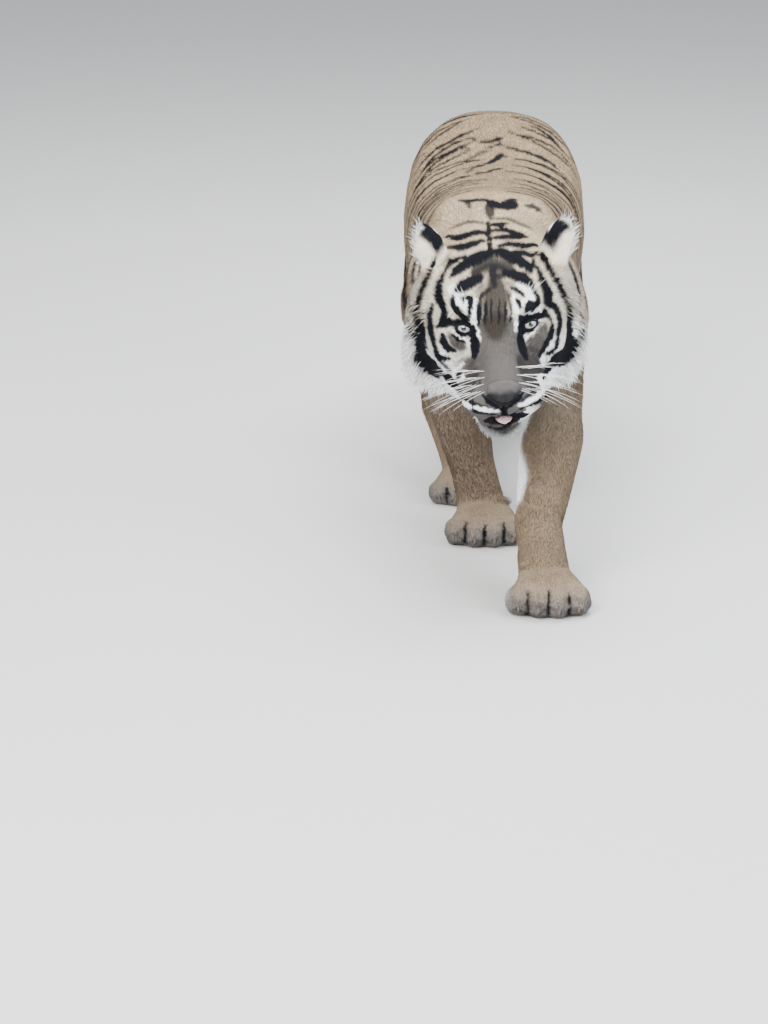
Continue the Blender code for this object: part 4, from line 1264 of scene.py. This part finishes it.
def tuft_shape(sides, cuts):
    """A tapered tuft of unit size: its places and its triangles."""
    work = bmesh.new()
    bmesh.ops.create_cone(work, cap_ends=False, segments=sides, radius1=1.0, radius2=0.0,
                          depth=1.0, matrix=Matrix.Translation((0, 0, 0.5)))
    bmesh.ops.remove_doubles(work, verts=work.verts, dist=1e-5)
    for height in cuts:
        bmesh.ops.bisect_plane(work, geom=work.verts[:] + work.edges[:] + work.faces[:],
                               plane_co=(0, 0, height), plane_no=(0, 0, 1))
    bmesh.ops.triangulate(work, faces=work.faces)
    places = np.array([vert.co for vert in work.verts])
    corners = np.array([[vert.index for vert in face.verts] for face in work.faces])
    work.free()
    fuller = (1 - places[:, 2]) ** -0.45 if cuts else np.ones(len(places))
    fuller[places[:, 2] > 0.99] = 1.0
    places[:, :2] *= fuller[:, None]
    return places, corners


def ear_local(points, side, word):
    """Points in an ear's frame, and how much they belong to it."""
    local = as_rows(ear_frame(side, word).inverted(), points)
    belongs = 1 - smooth_ramp(0.98, 1.12, level_of(local, EAR_SHAPE))
    return local, belongs * smooth_ramp(0.004, 0.016, local[:, 2])


def in_hollow(local):
    """1 on the inside of an ear, 0 on its back."""
    return 1 - smooth_ramp(1.07, 1.16, level_of(local, HOLLOW_SHAPE))


def swerved(lie, normals, angles):
    """Directions along the skin, turned about its normals."""
    return lie * np.cos(angles)[:, None] + np.cross(normals, lie) * np.sin(angles)[:, None]


def lifted(lie, normals, angles):
    """Directions along the skin, raised from it."""
    return lie * np.cos(angles)[:, None] + normals * np.sin(angles)[:, None]


def head_hair(points):
    """The length, width, lift and lie of the hair on the head."""
    local = as_rows(HEAD_INVERSE, points)
    back, height = local[:, 1], local[:, 2]
    way = unit(local - (0, -0.014, 0.004))
    hang = smooth_ramp(0.13, 0.24, back) * smooth_ramp(0.030, 0.085, np.abs(local[:, 0]))
    way[:, 2] -= 0.9 * hang
    way[:, 0] *= 1 + 0.3 * hang
    length = 0.0034 + 0.0034 * smooth_ramp(0.01, 0.10, back)
    length += 0.0022 * smooth_ramp(0.12, 0.24, back)
    length += 0.0090 * smooth_ramp(0.18, 0.25, back) * smooth_ramp(0.03, -0.03, height)
    width = 0.75 + 0.75 * smooth_ramp(0.03, 0.22, back)
    lift = 12 + 6 * smooth_ramp(0.16, 0.25, back)
    return length, width, lift, unit(way @ np.array(HEAD.to_3x3()).T)


def hair(points, normals):
    """The length, width, lift and lie of the hair at each point of the skin."""
    shares = bone_shares(points)
    length, width, lift, droop = (shares @ BONE_SIZES[:, column] for column in (1, 2, 3, 4))
    lie = shares @ unit(BONE_ENDS - BONE_STARTS)
    lie[:, 2] -= droop
    head = head_share(points)
    face_length, face_width, face_lift, face_lie = head_hair(points)
    length += (face_length - length) * head
    width += (face_width - width) * head
    lift += (face_lift - lift) * head
    lie += (face_lie - unit(lie)) * head[:, None]
    for side, word in SIDES:
        ear = ear_local(points, side, word)[1]
        tip = np.array(ear_frame(side, word).to_3x3() @ Vector((0, 0, 1)))
        lie += (tip - lie) * ear[:, None]
        length += (EAR_HAIR[0] - length) * ear
        width += (EAR_HAIR[1] - width) * ear
        lift += (EAR_HAIR[2] - lift) * ear
    lie -= (lie * normals).sum(axis=1)[:, None] * normals
    lie = swerved(unit(lie), normals, np.radians(7) * mottle(points, 0.045, 21))
    return length, width * MM, np.radians(lift), lie


def bald(points):
    """Where no tuft grows: the eyes, the lips, the soles and under the nose leather."""
    local = as_rows(HEAD_INVERSE, points)
    none = (points[:, 2] < 0.0045) | (level_of(local, LEATHER_SHAPE) < 1.0)
    for side, _ in SIDES:
        across, up, away, ahead = eye_local(points, side)
        none |= (lid_level(across, up) < 1.32) & (away < LID_REACH + 0.002) & (ahead < 0)
    return none | ((np.abs(local[:, 2] - GAP_HEIGHT) < 0.0090)
                   & (np.abs(local[:, 0]) < 0.021) & (local[:, 1] < LIPS_BACK))


class Skin:
    """The skin's triangles, for growing hair on."""

    def __init__(self):
        mesh = bpy.data.objects["skin"].data
        mesh.calc_loop_triangles()
        count = len(mesh.loop_triangles)
        corners = np.empty(count * 3, dtype=np.int32)
        mesh.loop_triangles.foreach_get("vertices", corners)
        self.corners = corners.reshape(-1, 3)
        self.points = places_of(mesh)
        self.normals = normals_of(mesh)
        first, second, third = (self.points[self.corners[:, i]] for i in range(3))
        self.areas = np.linalg.norm(np.cross(second - first, third - first), axis=1) / 2
        self.middles = (first + second + third) / 3
        self.normal = unit(self.normals[self.corners].sum(axis=1))
        self.pieces = self.name_pieces()

    def name_pieces(self):
        """The coat piece that each triangle belongs to."""
        shares = bone_shares(self.middles)
        best = shares.argmax(axis=1)
        names = np.array([self.piece_of(name) for name in BONE_NAMES], dtype=object)[best]
        local = as_rows(HEAD_INVERSE, self.middles)
        head = head_share(self.middles) > 0.5
        names[head] = np.where(local[head, 1] < 0.125, "face_",
                               np.where(local[head, 2] > 0.045, "crown_", "cheek_"))
        for side, word in SIDES:
            here = np.where(head, (local[:, 0] * side) >= 0, self.middles[:, 0] * side >= 0)
            for row in np.nonzero(here)[0]:
                if names[row].endswith("_"):
                    names[row] += word
            names[ear_local(self.middles, side, word)[1] > 0.5] = "ears"
        return names

    @staticmethod
    def piece_of(bone):
        """The piece that a bone's coat goes in; a name that ends in _ still needs a side."""
        for part, piece in (("upper_arm", "foreleg"), ("forearm", "foreleg"),
                            ("fore_paw", "foreleg"), ("thigh", "thigh"), ("shank", "hind_leg"),
                            ("hind_foot", "hind_leg"), ("hind_paw", "hind_leg")):
            if bone.startswith(part):
                return f"{piece}_{bone.rsplit('_', 1)[1]}"
        return "tail" if bone.startswith("tail") else bone + "_"

    def sow(self, weights, count, draw):
        """Roots spread over the triangles by their weights: places and normals."""
        steps = np.cumsum(weights)
        spots = (np.arange(count) + draw.random(count)) / count * steps[-1]
        rows = np.minimum(np.searchsorted(steps, spots), len(steps) - 1)
        first = draw.random(count)
        second = draw.random(count)
        flip = first + second > 1
        first[flip], second[flip] = 1 - first[flip], 1 - second[flip]
        share = np.stack([1 - first - second, first, second], axis=1)[:, :, None]
        places = (self.points[self.corners[rows]] * share).sum(axis=1)
        return places, unit((self.normals[self.corners[rows]] * share).sum(axis=1))


def map_places(points):
    """Where each root is on an unwrap of the skin: round each bone, or out from the nose."""
    shares = bone_shares(points)
    best = shares.argmax(axis=1)
    start, end = BONE_STARTS[best], BONE_ENDS[best]
    along = end - start
    long = np.linalg.norm(along, axis=1)
    along /= long[:, None]
    share = ((points - start) * along).sum(axis=1) / long
    front = np.array((0.3, -1.0, 0.2)) - (along @ np.array((0.3, -1.0, 0.2)))[:, None] * along
    front = unit(front)
    offset = points - start - (share * long)[:, None] * along
    angle = np.arctan2((offset * np.cross(along, front)).sum(axis=1), (offset * front).sum(axis=1))
    rows, columns = np.divmod(best, 5)
    across = (columns + 0.5 + 0.46 * angle / math.pi) / 5
    up = (rows + 0.5 + 0.40 * np.clip(share * 2 - 1, -1.15, 1.15)) / 5
    local = as_rows(HEAD_INVERSE, points)
    radius = np.linalg.norm(local, axis=1) / 0.36 * 0.48
    angle = np.arctan2(local[:, 0], local[:, 2])
    head = head_share(points) > 0.5
    across = np.where(head, 0.5 + radius * np.sin(angle), across)
    up = np.where(head, 0.5 + radius * np.cos(angle), up)
    return np.stack([across, up], axis=1)


def grow(name, shape, roots, ways, normals, lengths, widths, tints, bends, flat=0.45):
    """One mesh of the shape at every root, pointing its way and bending by its bend."""
    places, corners = shape
    side = unit(np.cross(ways, normals))
    up = np.cross(side, ways)
    x, y, z = places.T
    rows = (roots[:, None, :]
            + side[:, None, :] * (x[None, :, None] * widths[:, None, None] / 2)
            + up[:, None, :] * (y[None, :, None] * widths[:, None, None] * flat / 2)
            + ways[:, None, :] * (z[None, :, None] * lengths[:, None, None])
            + bends[:, None, :] * (z[None, :, None] ** 2 * lengths[:, None, None]))
    rows[:, :, 2] = np.maximum(rows[:, :, 2], 0.0002)
    count, size = len(roots), len(places)
    mesh = bpy.data.meshes.new(name)
    mesh.vertices.add(count * size)
    mesh.vertices.foreach_set("co", rows.astype(np.float32).ravel())
    faces = (corners[None] + np.arange(count)[:, None, None] * size).reshape(-1)
    mesh.loops.add(len(faces))
    mesh.loops.foreach_set("vertex_index", faces.astype(np.int32))
    mesh.polygons.add(len(faces) // 3)
    mesh.polygons.foreach_set("loop_start", np.arange(0, len(faces), 3, dtype=np.int32))
    mesh.polygons.foreach_set("use_smooth", np.ones(len(faces) // 3, dtype=bool))
    mesh.update(calc_edges=True)
    share = z[None, :, None]
    colours = (tints[0][:, None, :] * (1 - share) + tints[1][:, None, :] * share)
    # painted shade: each tuft darker at its root, lighter at its tip
    colours *= ROOT_PAINTED_SHADE + (TIP_PAINTED_LIGHT - ROOT_PAINTED_SHADE) * share
    set_colours(mesh, colours.reshape(-1, 3))
    patch = np.stack([x, z * 2 - 1], axis=1) * PATCH
    spots = (map_places(roots)[:, None, :] + patch[None]).reshape(-1, 2)
    layer = mesh.uv_layers.new(name="OFBake")
    layer.data.foreach_set("uv", spots[faces].astype(np.float32).ravel())
    obj = bpy.data.objects.new(name, mesh)
    bpy.context.scene.collection.objects.link(obj)
    return obj


def plant(name, shape, roots, normals, hairs, spread, draw, sunk, bends):
    """A mesh of tufts at the roots, no two quite alike."""
    length, width, lift, lie = hairs
    count = len(roots)
    length = length * draw.uniform(*spread["length"], count)
    width = width * draw.uniform(*spread["width"], count)
    lift = lift * draw.uniform(*spread["lift"], count)
    lie = swerved(lie, normals, draw.normal(0, math.radians(spread["turn"]), count))
    tints = tuft_tints(roots, lie * length[:, None], draw)
    return grow(name, shape, roots - normals * sunk, lifted(lie, normals, lift), normals,
                length, width, tints, bends)


def short_coat(skin, piece, material, settings):
    """The tufts of one piece."""
    draw = np.random.default_rng(COAT_SEED + sum(map(ord, piece)))
    here = skin.pieces == piece
    length, width, _, _ = hair(skin.middles[here], skin.normal[here])
    weights = np.zeros(len(skin.areas))
    cover = settings.cover * (HEAD_COVER if piece.startswith(("face", "cheek", "crown")) else 1.0)
    weights[here] = skin.areas[here] / (length * width / 2) * cover
    roots, normals = skin.sow(weights, min(int(weights.sum()), PIECE_TUFTS), draw)
    keep = ~bald(roots)
    roots, normals = roots[keep], normals[keep]
    length, width, lift, lie = hair(roots, normals)
    obj = plant("coat_" + piece, tuft_shape(3, ()), roots, normals,
                (length * settings.length, width, lift, lie), TUFT_SPREAD, draw, 0.0006,
                -normals * 0.05)
    finish_piece(obj, material, "ear_coat" if piece == "ears" else "coat")


def tuft_tints(roots, reaches, draw):
    """The colours at the roots and at the tips of tufts."""
    uneven = draw.normal(1.0, 0.09, len(roots))[:, None]
    return [np.clip(strokes().colour(roots + reaches * share) * uneven, 0.002, LIGHTEST)
            for share in (0.05, 0.90)]


def lock_weights(skin, kind):
    """Where the long locks of a kind grow."""
    points, normal = skin.middles, skin.normal
    head = head_share(points)
    local = as_rows(HEAD_INVERSE, points)
    wide = np.abs(local[:, 0])
    if kind == "ruff":
        here = smooth_ramp(0.185, 0.215, local[:, 1]) * smooth_ramp(0.075, 0.05, local[:, 2])
        here *= smooth_ramp(0.050, 0.080, wide) * smooth_ramp(0.32, 0.27, local[:, 1])
        return here * smooth_ramp(-0.17, -0.10, local[:, 2]) * (points[:, 2] > 0.28)
    if kind == "chin":
        return head * smooth_ramp(-0.066, -0.078, local[:, 2]) * smooth_ramp(0.12, 0.06, local[:, 1])
    if kind == "belly":
        low = (normal[:, 2] < -0.3) & (points[:, 2] > 0.26) & (head < 0.1)
        place = points[:, 1] - STAND.y
        return low * smooth_ramp(0.50, 0.60, place) * smooth_ramp(1.10, 1.0, place)
    if kind == "tail":
        return (skin.pieces == "tail") * smooth_ramp(1.50, 1.70, points[:, 1] - STAND.y)
    total = np.zeros(len(points))
    for side, word in SIDES:
        place, ear = ear_local(points, side, word)
        total += ear * in_hollow(place) * smooth_ramp(0.000, 0.020, -place[:, 1] + 0.01)
    return total


def long_locks(skin, kind, material):
    """The long locks of one kind."""
    length, width, lift, fall, each = LOCKS[kind]
    draw = np.random.default_rng(COAT_SEED + len(kind))
    roots, normals = skin.sow(lock_weights(skin, kind) * skin.areas, each * 2, draw)
    hairs = (length, width, np.radians(lift), hair(roots, normals)[3])
    obj = plant("locks_" + kind, tuft_shape(3, (0.35, 0.7)), roots, normals, hairs, LOCK_SPREAD,
                draw, 0.0010, -normals * 0.15 + np.array((0, 0, -fall)))
    finish_piece(obj, material, "ear_coat" if kind == "ear" else "coat")


def make_coat(settings):
    """All the tufts and locks."""
    skin = Skin()
    material = coat_material("coat", 0.70)
    for piece in sorted(set(skin.pieces)):
        short_coat(skin, piece, material, settings)
    for kind in LOCKS:
        long_locks(skin, kind, material)


# ------------------------------------------------------------------ fine parts
def make_eye(side, word):
    """An eyeball with a domed cornea, its pole where it looks."""
    work = bmesh.new()
    place = gaze_frame(side) @ Matrix.Rotation(math.radians(90), 4, "X")
    bmesh.ops.create_uvsphere(work, u_segments=48, v_segments=48, radius=EYE_RADIUS)
    angles = [vert.co.normalized().angle(Vector((0, 0, 1))) for vert in work.verts]
    for vert, angle in zip(work.verts, angles):
        vert.co *= 1 + 0.05 * float(smooth_ramp(math.radians(42), math.radians(20), angle))
    bmesh.ops.transform(work, matrix=place, verts=work.verts)
    obj = new_object("eyeball_" + word, work)
    attribute = obj.data.attributes.new("angle", "FLOAT", "POINT")
    attribute.data.foreach_set("value", [math.degrees(angle) / 90 for angle in angles])
    shade_smooth(obj)
    finish_piece(obj, eye_material(), "eye", "eye_" + word)


def eye_material():
    """A wet eye: round pupil, pale iris with fine rays and a dark rim."""
    nodes = Nodes("eye")
    angle = nodes.add("ShaderNodeAttribute", {"attribute_name": "angle"}, output=2)
    rays = nodes.noise(900.0, 2.0)
    uneven = angle + (rays - 0.5) * 0.03
    colour = nodes.add("ShaderNodeValToRGB", {"stops": (
        (0.000, (0.004, 0.004, 0.005, 1)), (0.150, (0.004, 0.004, 0.005, 1)),
        (0.165, (0.120, 0.110, 0.080, 1)), (0.260, (0.300, 0.330, 0.320, 1)),
        (0.400, (0.240, 0.290, 0.320, 1)), (0.470, (0.015, 0.014, 0.014, 1)),
        (0.540, (0.030, 0.024, 0.022, 1)))}, {"Fac": uneven})
    nodes.shade(Base_Color=colour, Roughness=0.08, Coat_Weight=1.0, Coat_Roughness=0.02)
    return nodes.material


NOSTRIL = (      # two hollows side by side: across, up, half width and height, depth
    (0.0150, -0.0045, 0.0048, 0.0038, 0.0075), (0.0205, -0.0010, 0.0042, 0.0026, 0.0050),
)


def make_nose():
    """The bare leather of the nose, with its nostrils and the groove between them."""
    nose = copy_node("nose", "nose_leather")
    add_modifier(nose, "REMESH", mode="VOXEL", voxel_size=0.0010)
    add_modifier(nose, "SMOOTH", factor=0.5, iterations=10)
    apply_modifiers(nose)
    points = as_rows(HEAD_INVERSE, places_of(nose.data))
    wide = np.abs(points[:, 0])
    for across, up, reach_x, reach_z, depth in NOSTRIL:
        level = ((wide - across) / reach_x) ** 2 + ((points[:, 2] - up) / reach_z) ** 2
        points[:, 1] += depth * np.exp(-level ** 1.4)
    points[:, 1] += 0.0022 * np.exp(-(wide / 0.0012) ** 2) * smooth_ramp(0.004, -0.004, points[:, 2])
    points[:, 1] -= 0.0010 * np.exp(-((wide - 0.008) / 0.005) ** 2)
    points[:, 1] = np.where(points[:, 1] < 0.009, 0.009 - 0.62 * (0.009 - points[:, 1]), points[:, 1])
    points[:, 1] += 0.0065 * smooth_ramp(0.000, 0.015, points[:, 2])
    height = smooth_ramp(0.001, 0.015, points[:, 2] + 0.0015 * mottle(points, 0.006, 31))
    nose.data.attributes.new("height", "FLOAT", "POINT").data.foreach_set("value", height)
    move_to(nose.data, as_rows(HEAD, points))
    shade_smooth(nose)
    nodes = Nodes("nose leather")
    pebble = nodes.add("ShaderNodeTexVoronoi", {"feature": "SMOOTH_F1"}, {
        "Vector": nodes.place(), "Scale": 900.0})
    cloud = nodes.noise(120.0, 2.0)
    height = nodes.add("ShaderNodeAttribute", {"attribute_name": "height"}, output=2)
    leather = nodes.mix((0.004, 0.004, 0.006, 1), (0.014, 0.013, 0.016, 1), cloud)
    colour = nodes.mix(leather, (*INKS["bridge"][0], 1), height)
    nodes.shade(Base_Color=colour, Roughness=0.50 + 0.15 * cloud, Specular_IOR_Level=0.22,
                Normal=nodes.bump(pebble, 0.0004, 0.6))
    finish_piece(nose, nodes.material, "nose_leather", "nose")


def make_tongue():
    """The tip of the tongue between the lips."""
    tongue = copy_node("tongue", "tongue_tip")
    add_modifier(tongue, "REMESH", mode="VOXEL", voxel_size=0.0012)
    add_modifier(tongue, "SMOOTH", factor=0.5, iterations=6)
    apply_modifiers(tongue)
    points = as_rows(HEAD_INVERSE, places_of(tongue.data))
    points[:, 2] -= 0.0010 * np.exp(-(points[:, 0] / 0.003) ** 2) * (points[:, 2] > MOUTH_HEIGHT)
    out = np.clip(0.050 - points[:, 1], 0.0, None)
    points[:, 1] -= 0.22 * out
    points[:, 2] -= 0.0070 + 5.0 * np.clip(out - 0.012, 0.0, None) ** 2
    move_to(tongue.data, as_rows(HEAD, points))
    shade_smooth(tongue)
    nodes = Nodes("tongue")
    buds = nodes.add("ShaderNodeTexVoronoi", None, {"Vector": nodes.place(), "Scale": 700.0})
    nodes.shade(Base_Color=nodes.mix((0.28, 0.19, 0.19, 1), (0.42, 0.32, 0.32, 1), buds),
                Roughness=0.35, Normal=nodes.bump(buds, 0.0005, 0.8))
    finish_piece(tongue, nodes.material, "tongue", "tongue")


def finish_claws():
    """Horn on the claws."""
    nodes = Nodes("horn")
    streaks = nodes.noise(300.0, 4.0)
    nodes.shade(Base_Color=nodes.mix((0.030, 0.024, 0.020, 1), (0.130, 0.105, 0.080, 1), streaks),
                Roughness=0.35 + 0.2 * streaks, Normal=nodes.bump(streaks, 0.0003, 0.5))
    for name in claw_nodes():
        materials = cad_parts[name].data.materials
        materials.clear()
        materials.append(nodes.material)


WHISKER_ROWS = (    # up the face's plane in cm, from and to across, length of the longest
    (4.4, 2.6, 5.2, 0.085), (3.2, 2.6, 5.8, 0.115), (2.0, 2.8, 6.0, 0.120), (0.9, 2.8, 5.6, 0.100),
)


def make_whiskers():
    """Long stiff white hairs from the whisker pads, and a few over each eye."""
    draw = np.random.default_rng(COAT_SEED)
    roots, ways, lengths = [], [], []
    turn = HEAD.to_3x3()
    for side, _ in SIDES:
        for up, near, far, longest in WHISKER_ROWS:
            for index in range(6):
                share = index / 5
                spot = strokes().on_face(side * (near + (far - near) * share) - 0.3,
                                         up + draw.uniform(-0.15, 0.15))[0]
                if spot is None:
                    continue
                way = Vector((side * (0.85 + 0.30 * share), 0.04 * up + 0.28 * share,
                              0.11 * (up - 4.4) + draw.uniform(-0.14, 0.06)))
                roots.append(spot)
                ways.append((turn @ way).normalized())
                lengths.append(longest * draw.uniform(0.55, 1.0))
        for index in range(4):
            spot = strokes().on_face(side * (4.9 + 0.5 * index), 16.2 + 0.3 * index)[0]
            roots.append(spot)
            ways.append((turn @ Vector((side * (0.2 + 0.15 * index), -0.15, 1.0))).normalized())
            lengths.append(draw.uniform(0.035, 0.055))
    count = len(roots)
    roots, ways, lengths = np.array(roots), np.array(ways), np.array(lengths)
    normals = np.tile((0.0, 0.3, 1.0), (count, 1))
    bends = np.tile((0.0, 0.10, -0.22), (count, 1)) * draw.uniform(0.5, 1.3, count)[:, None]
    obj = grow("whiskers", tuft_shape(4, (0.2, 0.4, 0.6, 0.8)), roots, ways, normals, lengths,
               np.full(count, 0.0009), np.full((2, count, 3), 0.72), bends, flat=1.0)
    finish_piece(obj, coat_material("whisker", 0.35), "coat")


# ------------------------------------------------------------------ the stage
def aim(obj, target):
    """Turns a light or camera to look at a point."""
    obj.rotation_euler = (Vector(target) - obj.location).to_track_quat("-Z", "Y").to_euler()


def add_light(name, place, target, size, power, colour):
    """A soft square light."""
    light = bpy.data.lights.new(name, "AREA")
    light.size = size
    light.energy = power
    light.color = colour
    obj = bpy.data.objects.new(name, light)
    obj.location = place
    bpy.context.scene.collection.objects.link(obj)
    aim(obj, target)


LIGHTS = (      # place, target, size, power as a share of the key light's, colour
    ("key light", (-1.5, -3.9, 2.8), (0, -0.3, 0.3), 2.6, 1.0, (1.0, 0.98, 0.95)),
    ("fill light", (2.8, -2.6, 1.8), (0, -0.2, 0.35), 2.4, 0.4, (0.92, 0.96, 1.0)),
    ("top light", (0.3, 0.6, 3.6), (0, 0.2, 0.4), 3.0, 0.7, (0.97, 0.98, 1.0)),
)
CAMERA_PLACE = Vector((0, -5.0, 1.7))       # from the stand
CAMERA_TURN = 2.0                           # degrees to the left
CAMERA_DROP = 16.83                         # degrees below level


def make_stage(settings):
    """A pale floor, soft lights and the camera."""
    work = bmesh.new()
    bmesh.ops.create_grid(work, x_segments=4, y_segments=4, size=40.0)
    floor = new_object("floor", work)
    nodes = Nodes("pale floor")
    nodes.shade(Base_Color=(*settings.floor_colour, 1), Roughness=0.9)
    floor.data.materials.append(nodes.material)
    for name, place, target, size, share, colour in LIGHTS:
        add_light(name, place, target, size, share * settings.light_power, colour)
    world = bpy.data.worlds.new("studio")
    world.use_nodes = True
    background = world.node_tree.nodes["Background"]
    background.inputs["Color"].default_value = (0.90, 0.93, 0.97, 1)
    background.inputs["Strength"].default_value = settings.world_strength
    bpy.context.scene.world = world
    data = bpy.data.cameras.new("camera")
    data.lens = settings.lens
    camera = bpy.data.objects.new("camera", data)
    camera.location = STAND + CAMERA_PLACE
    turn = Matrix.Rotation(math.radians(CAMERA_TURN), 3, "Z")
    tilt = Matrix.Rotation(math.radians(90 - CAMERA_DROP), 3, "X")
    camera.rotation_euler = (turn @ tilt).to_euler()
    bpy.context.scene.collection.objects.link(camera)
    bpy.context.scene.camera = camera


# ------------------------------------------------------------------ add-on
class StageSettings(bpy.types.PropertyGroup):
    """The floor, the lights and the camera."""

    lens: bpy.props.FloatProperty(name="Lens", description="Focal length", default=112.5,
                                  subtype="DISTANCE_CAMERA", unit="CAMERA")
    floor_colour: bpy.props.FloatVectorProperty(name="Floor", description="Colour of the floor",
                                                default=(0.55, 0.55, 0.545), subtype="COLOR")
    light_power: bpy.props.FloatProperty(name="Key light", description="Power of the key light",
                                         default=440.0, subtype="POWER", unit="POWER")
    world_strength: bpy.props.FloatProperty(name="Sky", default=0.85,
                                            description="Strength of the light from all round")


class CoatSettings(bpy.types.PropertyGroup):
    """The coat."""

    cover: bpy.props.FloatProperty(name="Cover", default=COVER, min=0.5, max=6.0,
                                   description="How many tufts lie over each spot")
    length: bpy.props.FloatProperty(name="Length", default=1.0, subtype="FACTOR",
                                    description="Length of the hair, 1 as it is")


class TIGER_OT_stage(bpy.types.Operator):
    """Adds the floor, the lights and the camera"""

    bl_idname = "tiger.stage"
    bl_label = "Stage"

    def execute(self, context):
        make_stage(context.scene.tiger_stage)
        return {"FINISHED"}


class TIGER_OT_skin(bpy.types.Operator):
    """Makes the skin with its face and markings"""

    bl_idname = "tiger.skin"
    bl_label = "Skin"

    def execute(self, context):
        make_skin()
        return {"FINISHED"}


class TIGER_OT_coat(bpy.types.Operator):
    """Grows the coat on the skin"""

    bl_idname = "tiger.coat"
    bl_label = "Coat"

    def execute(self, context):
        make_coat(context.scene.tiger_coat)
        return {"FINISHED"}


class TIGER_OT_eyes(bpy.types.Operator):
    """Makes the two eyes"""

    bl_idname = "tiger.eyes"
    bl_label = "Eyes"

    def execute(self, context):
        for side, word in SIDES:
            make_eye(side, word)
        return {"FINISHED"}


class TIGER_OT_nose(bpy.types.Operator):
    """Makes the leather of the nose"""

    bl_idname = "tiger.nose"
    bl_label = "Nose"

    def execute(self, context):
        make_nose()
        return {"FINISHED"}


class TIGER_OT_tongue(bpy.types.Operator):
    """Makes the tip of the tongue"""

    bl_idname = "tiger.tongue"
    bl_label = "Tongue"

    def execute(self, context):
        make_tongue()
        return {"FINISHED"}


class TIGER_OT_claws(bpy.types.Operator):
    """Gives the claws their horn"""

    bl_idname = "tiger.claws"
    bl_label = "Claws"

    def execute(self, context):
        finish_claws()
        return {"FINISHED"}


class TIGER_OT_whiskers(bpy.types.Operator):
    """Sets the whiskers"""

    bl_idname = "tiger.whiskers"
    bl_label = "Whiskers"

    def execute(self, context):
        make_whiskers()
        return {"FINISHED"}


OPERATORS = (TIGER_OT_stage, TIGER_OT_skin, TIGER_OT_coat, TIGER_OT_eyes, TIGER_OT_nose,
             TIGER_OT_tongue, TIGER_OT_claws, TIGER_OT_whiskers)
SETTINGS = {"tiger_stage": StageSettings, "tiger_coat": CoatSettings}


class TIGER_PT_panel(bpy.types.Panel):
    """The tiger's pieces and settings"""

    bl_label = "Tiger"
    bl_idname = "TIGER_PT_panel"
    bl_space_type = "VIEW_3D"
    bl_region_type = "UI"
    bl_category = "Tiger"

    def draw(self, context):
        for name, group in SETTINGS.items():
            for setting in group.__annotations__:
                self.layout.prop(getattr(context.scene, name), setting)
        for operator in OPERATORS:
            self.layout.operator(operator.bl_idname)


def register():
    for group in (*SETTINGS.values(), *OPERATORS, TIGER_PT_panel):
        bpy.utils.register_class(group)
    for name, group in SETTINGS.items():
        setattr(bpy.types.Scene, name, bpy.props.PointerProperty(type=group))


def unregister():
    for name in SETTINGS:
        delattr(bpy.types.Scene, name)
    for group in (TIGER_PT_panel, *reversed(OPERATORS), *SETTINGS.values()):
        bpy.utils.unregister_class(group)


def main():
    register()
    for operator in OPERATORS:
        getattr(bpy.ops.tiger, operator.bl_idname.split(".")[1])()


if __name__ == "__main__":
    main()
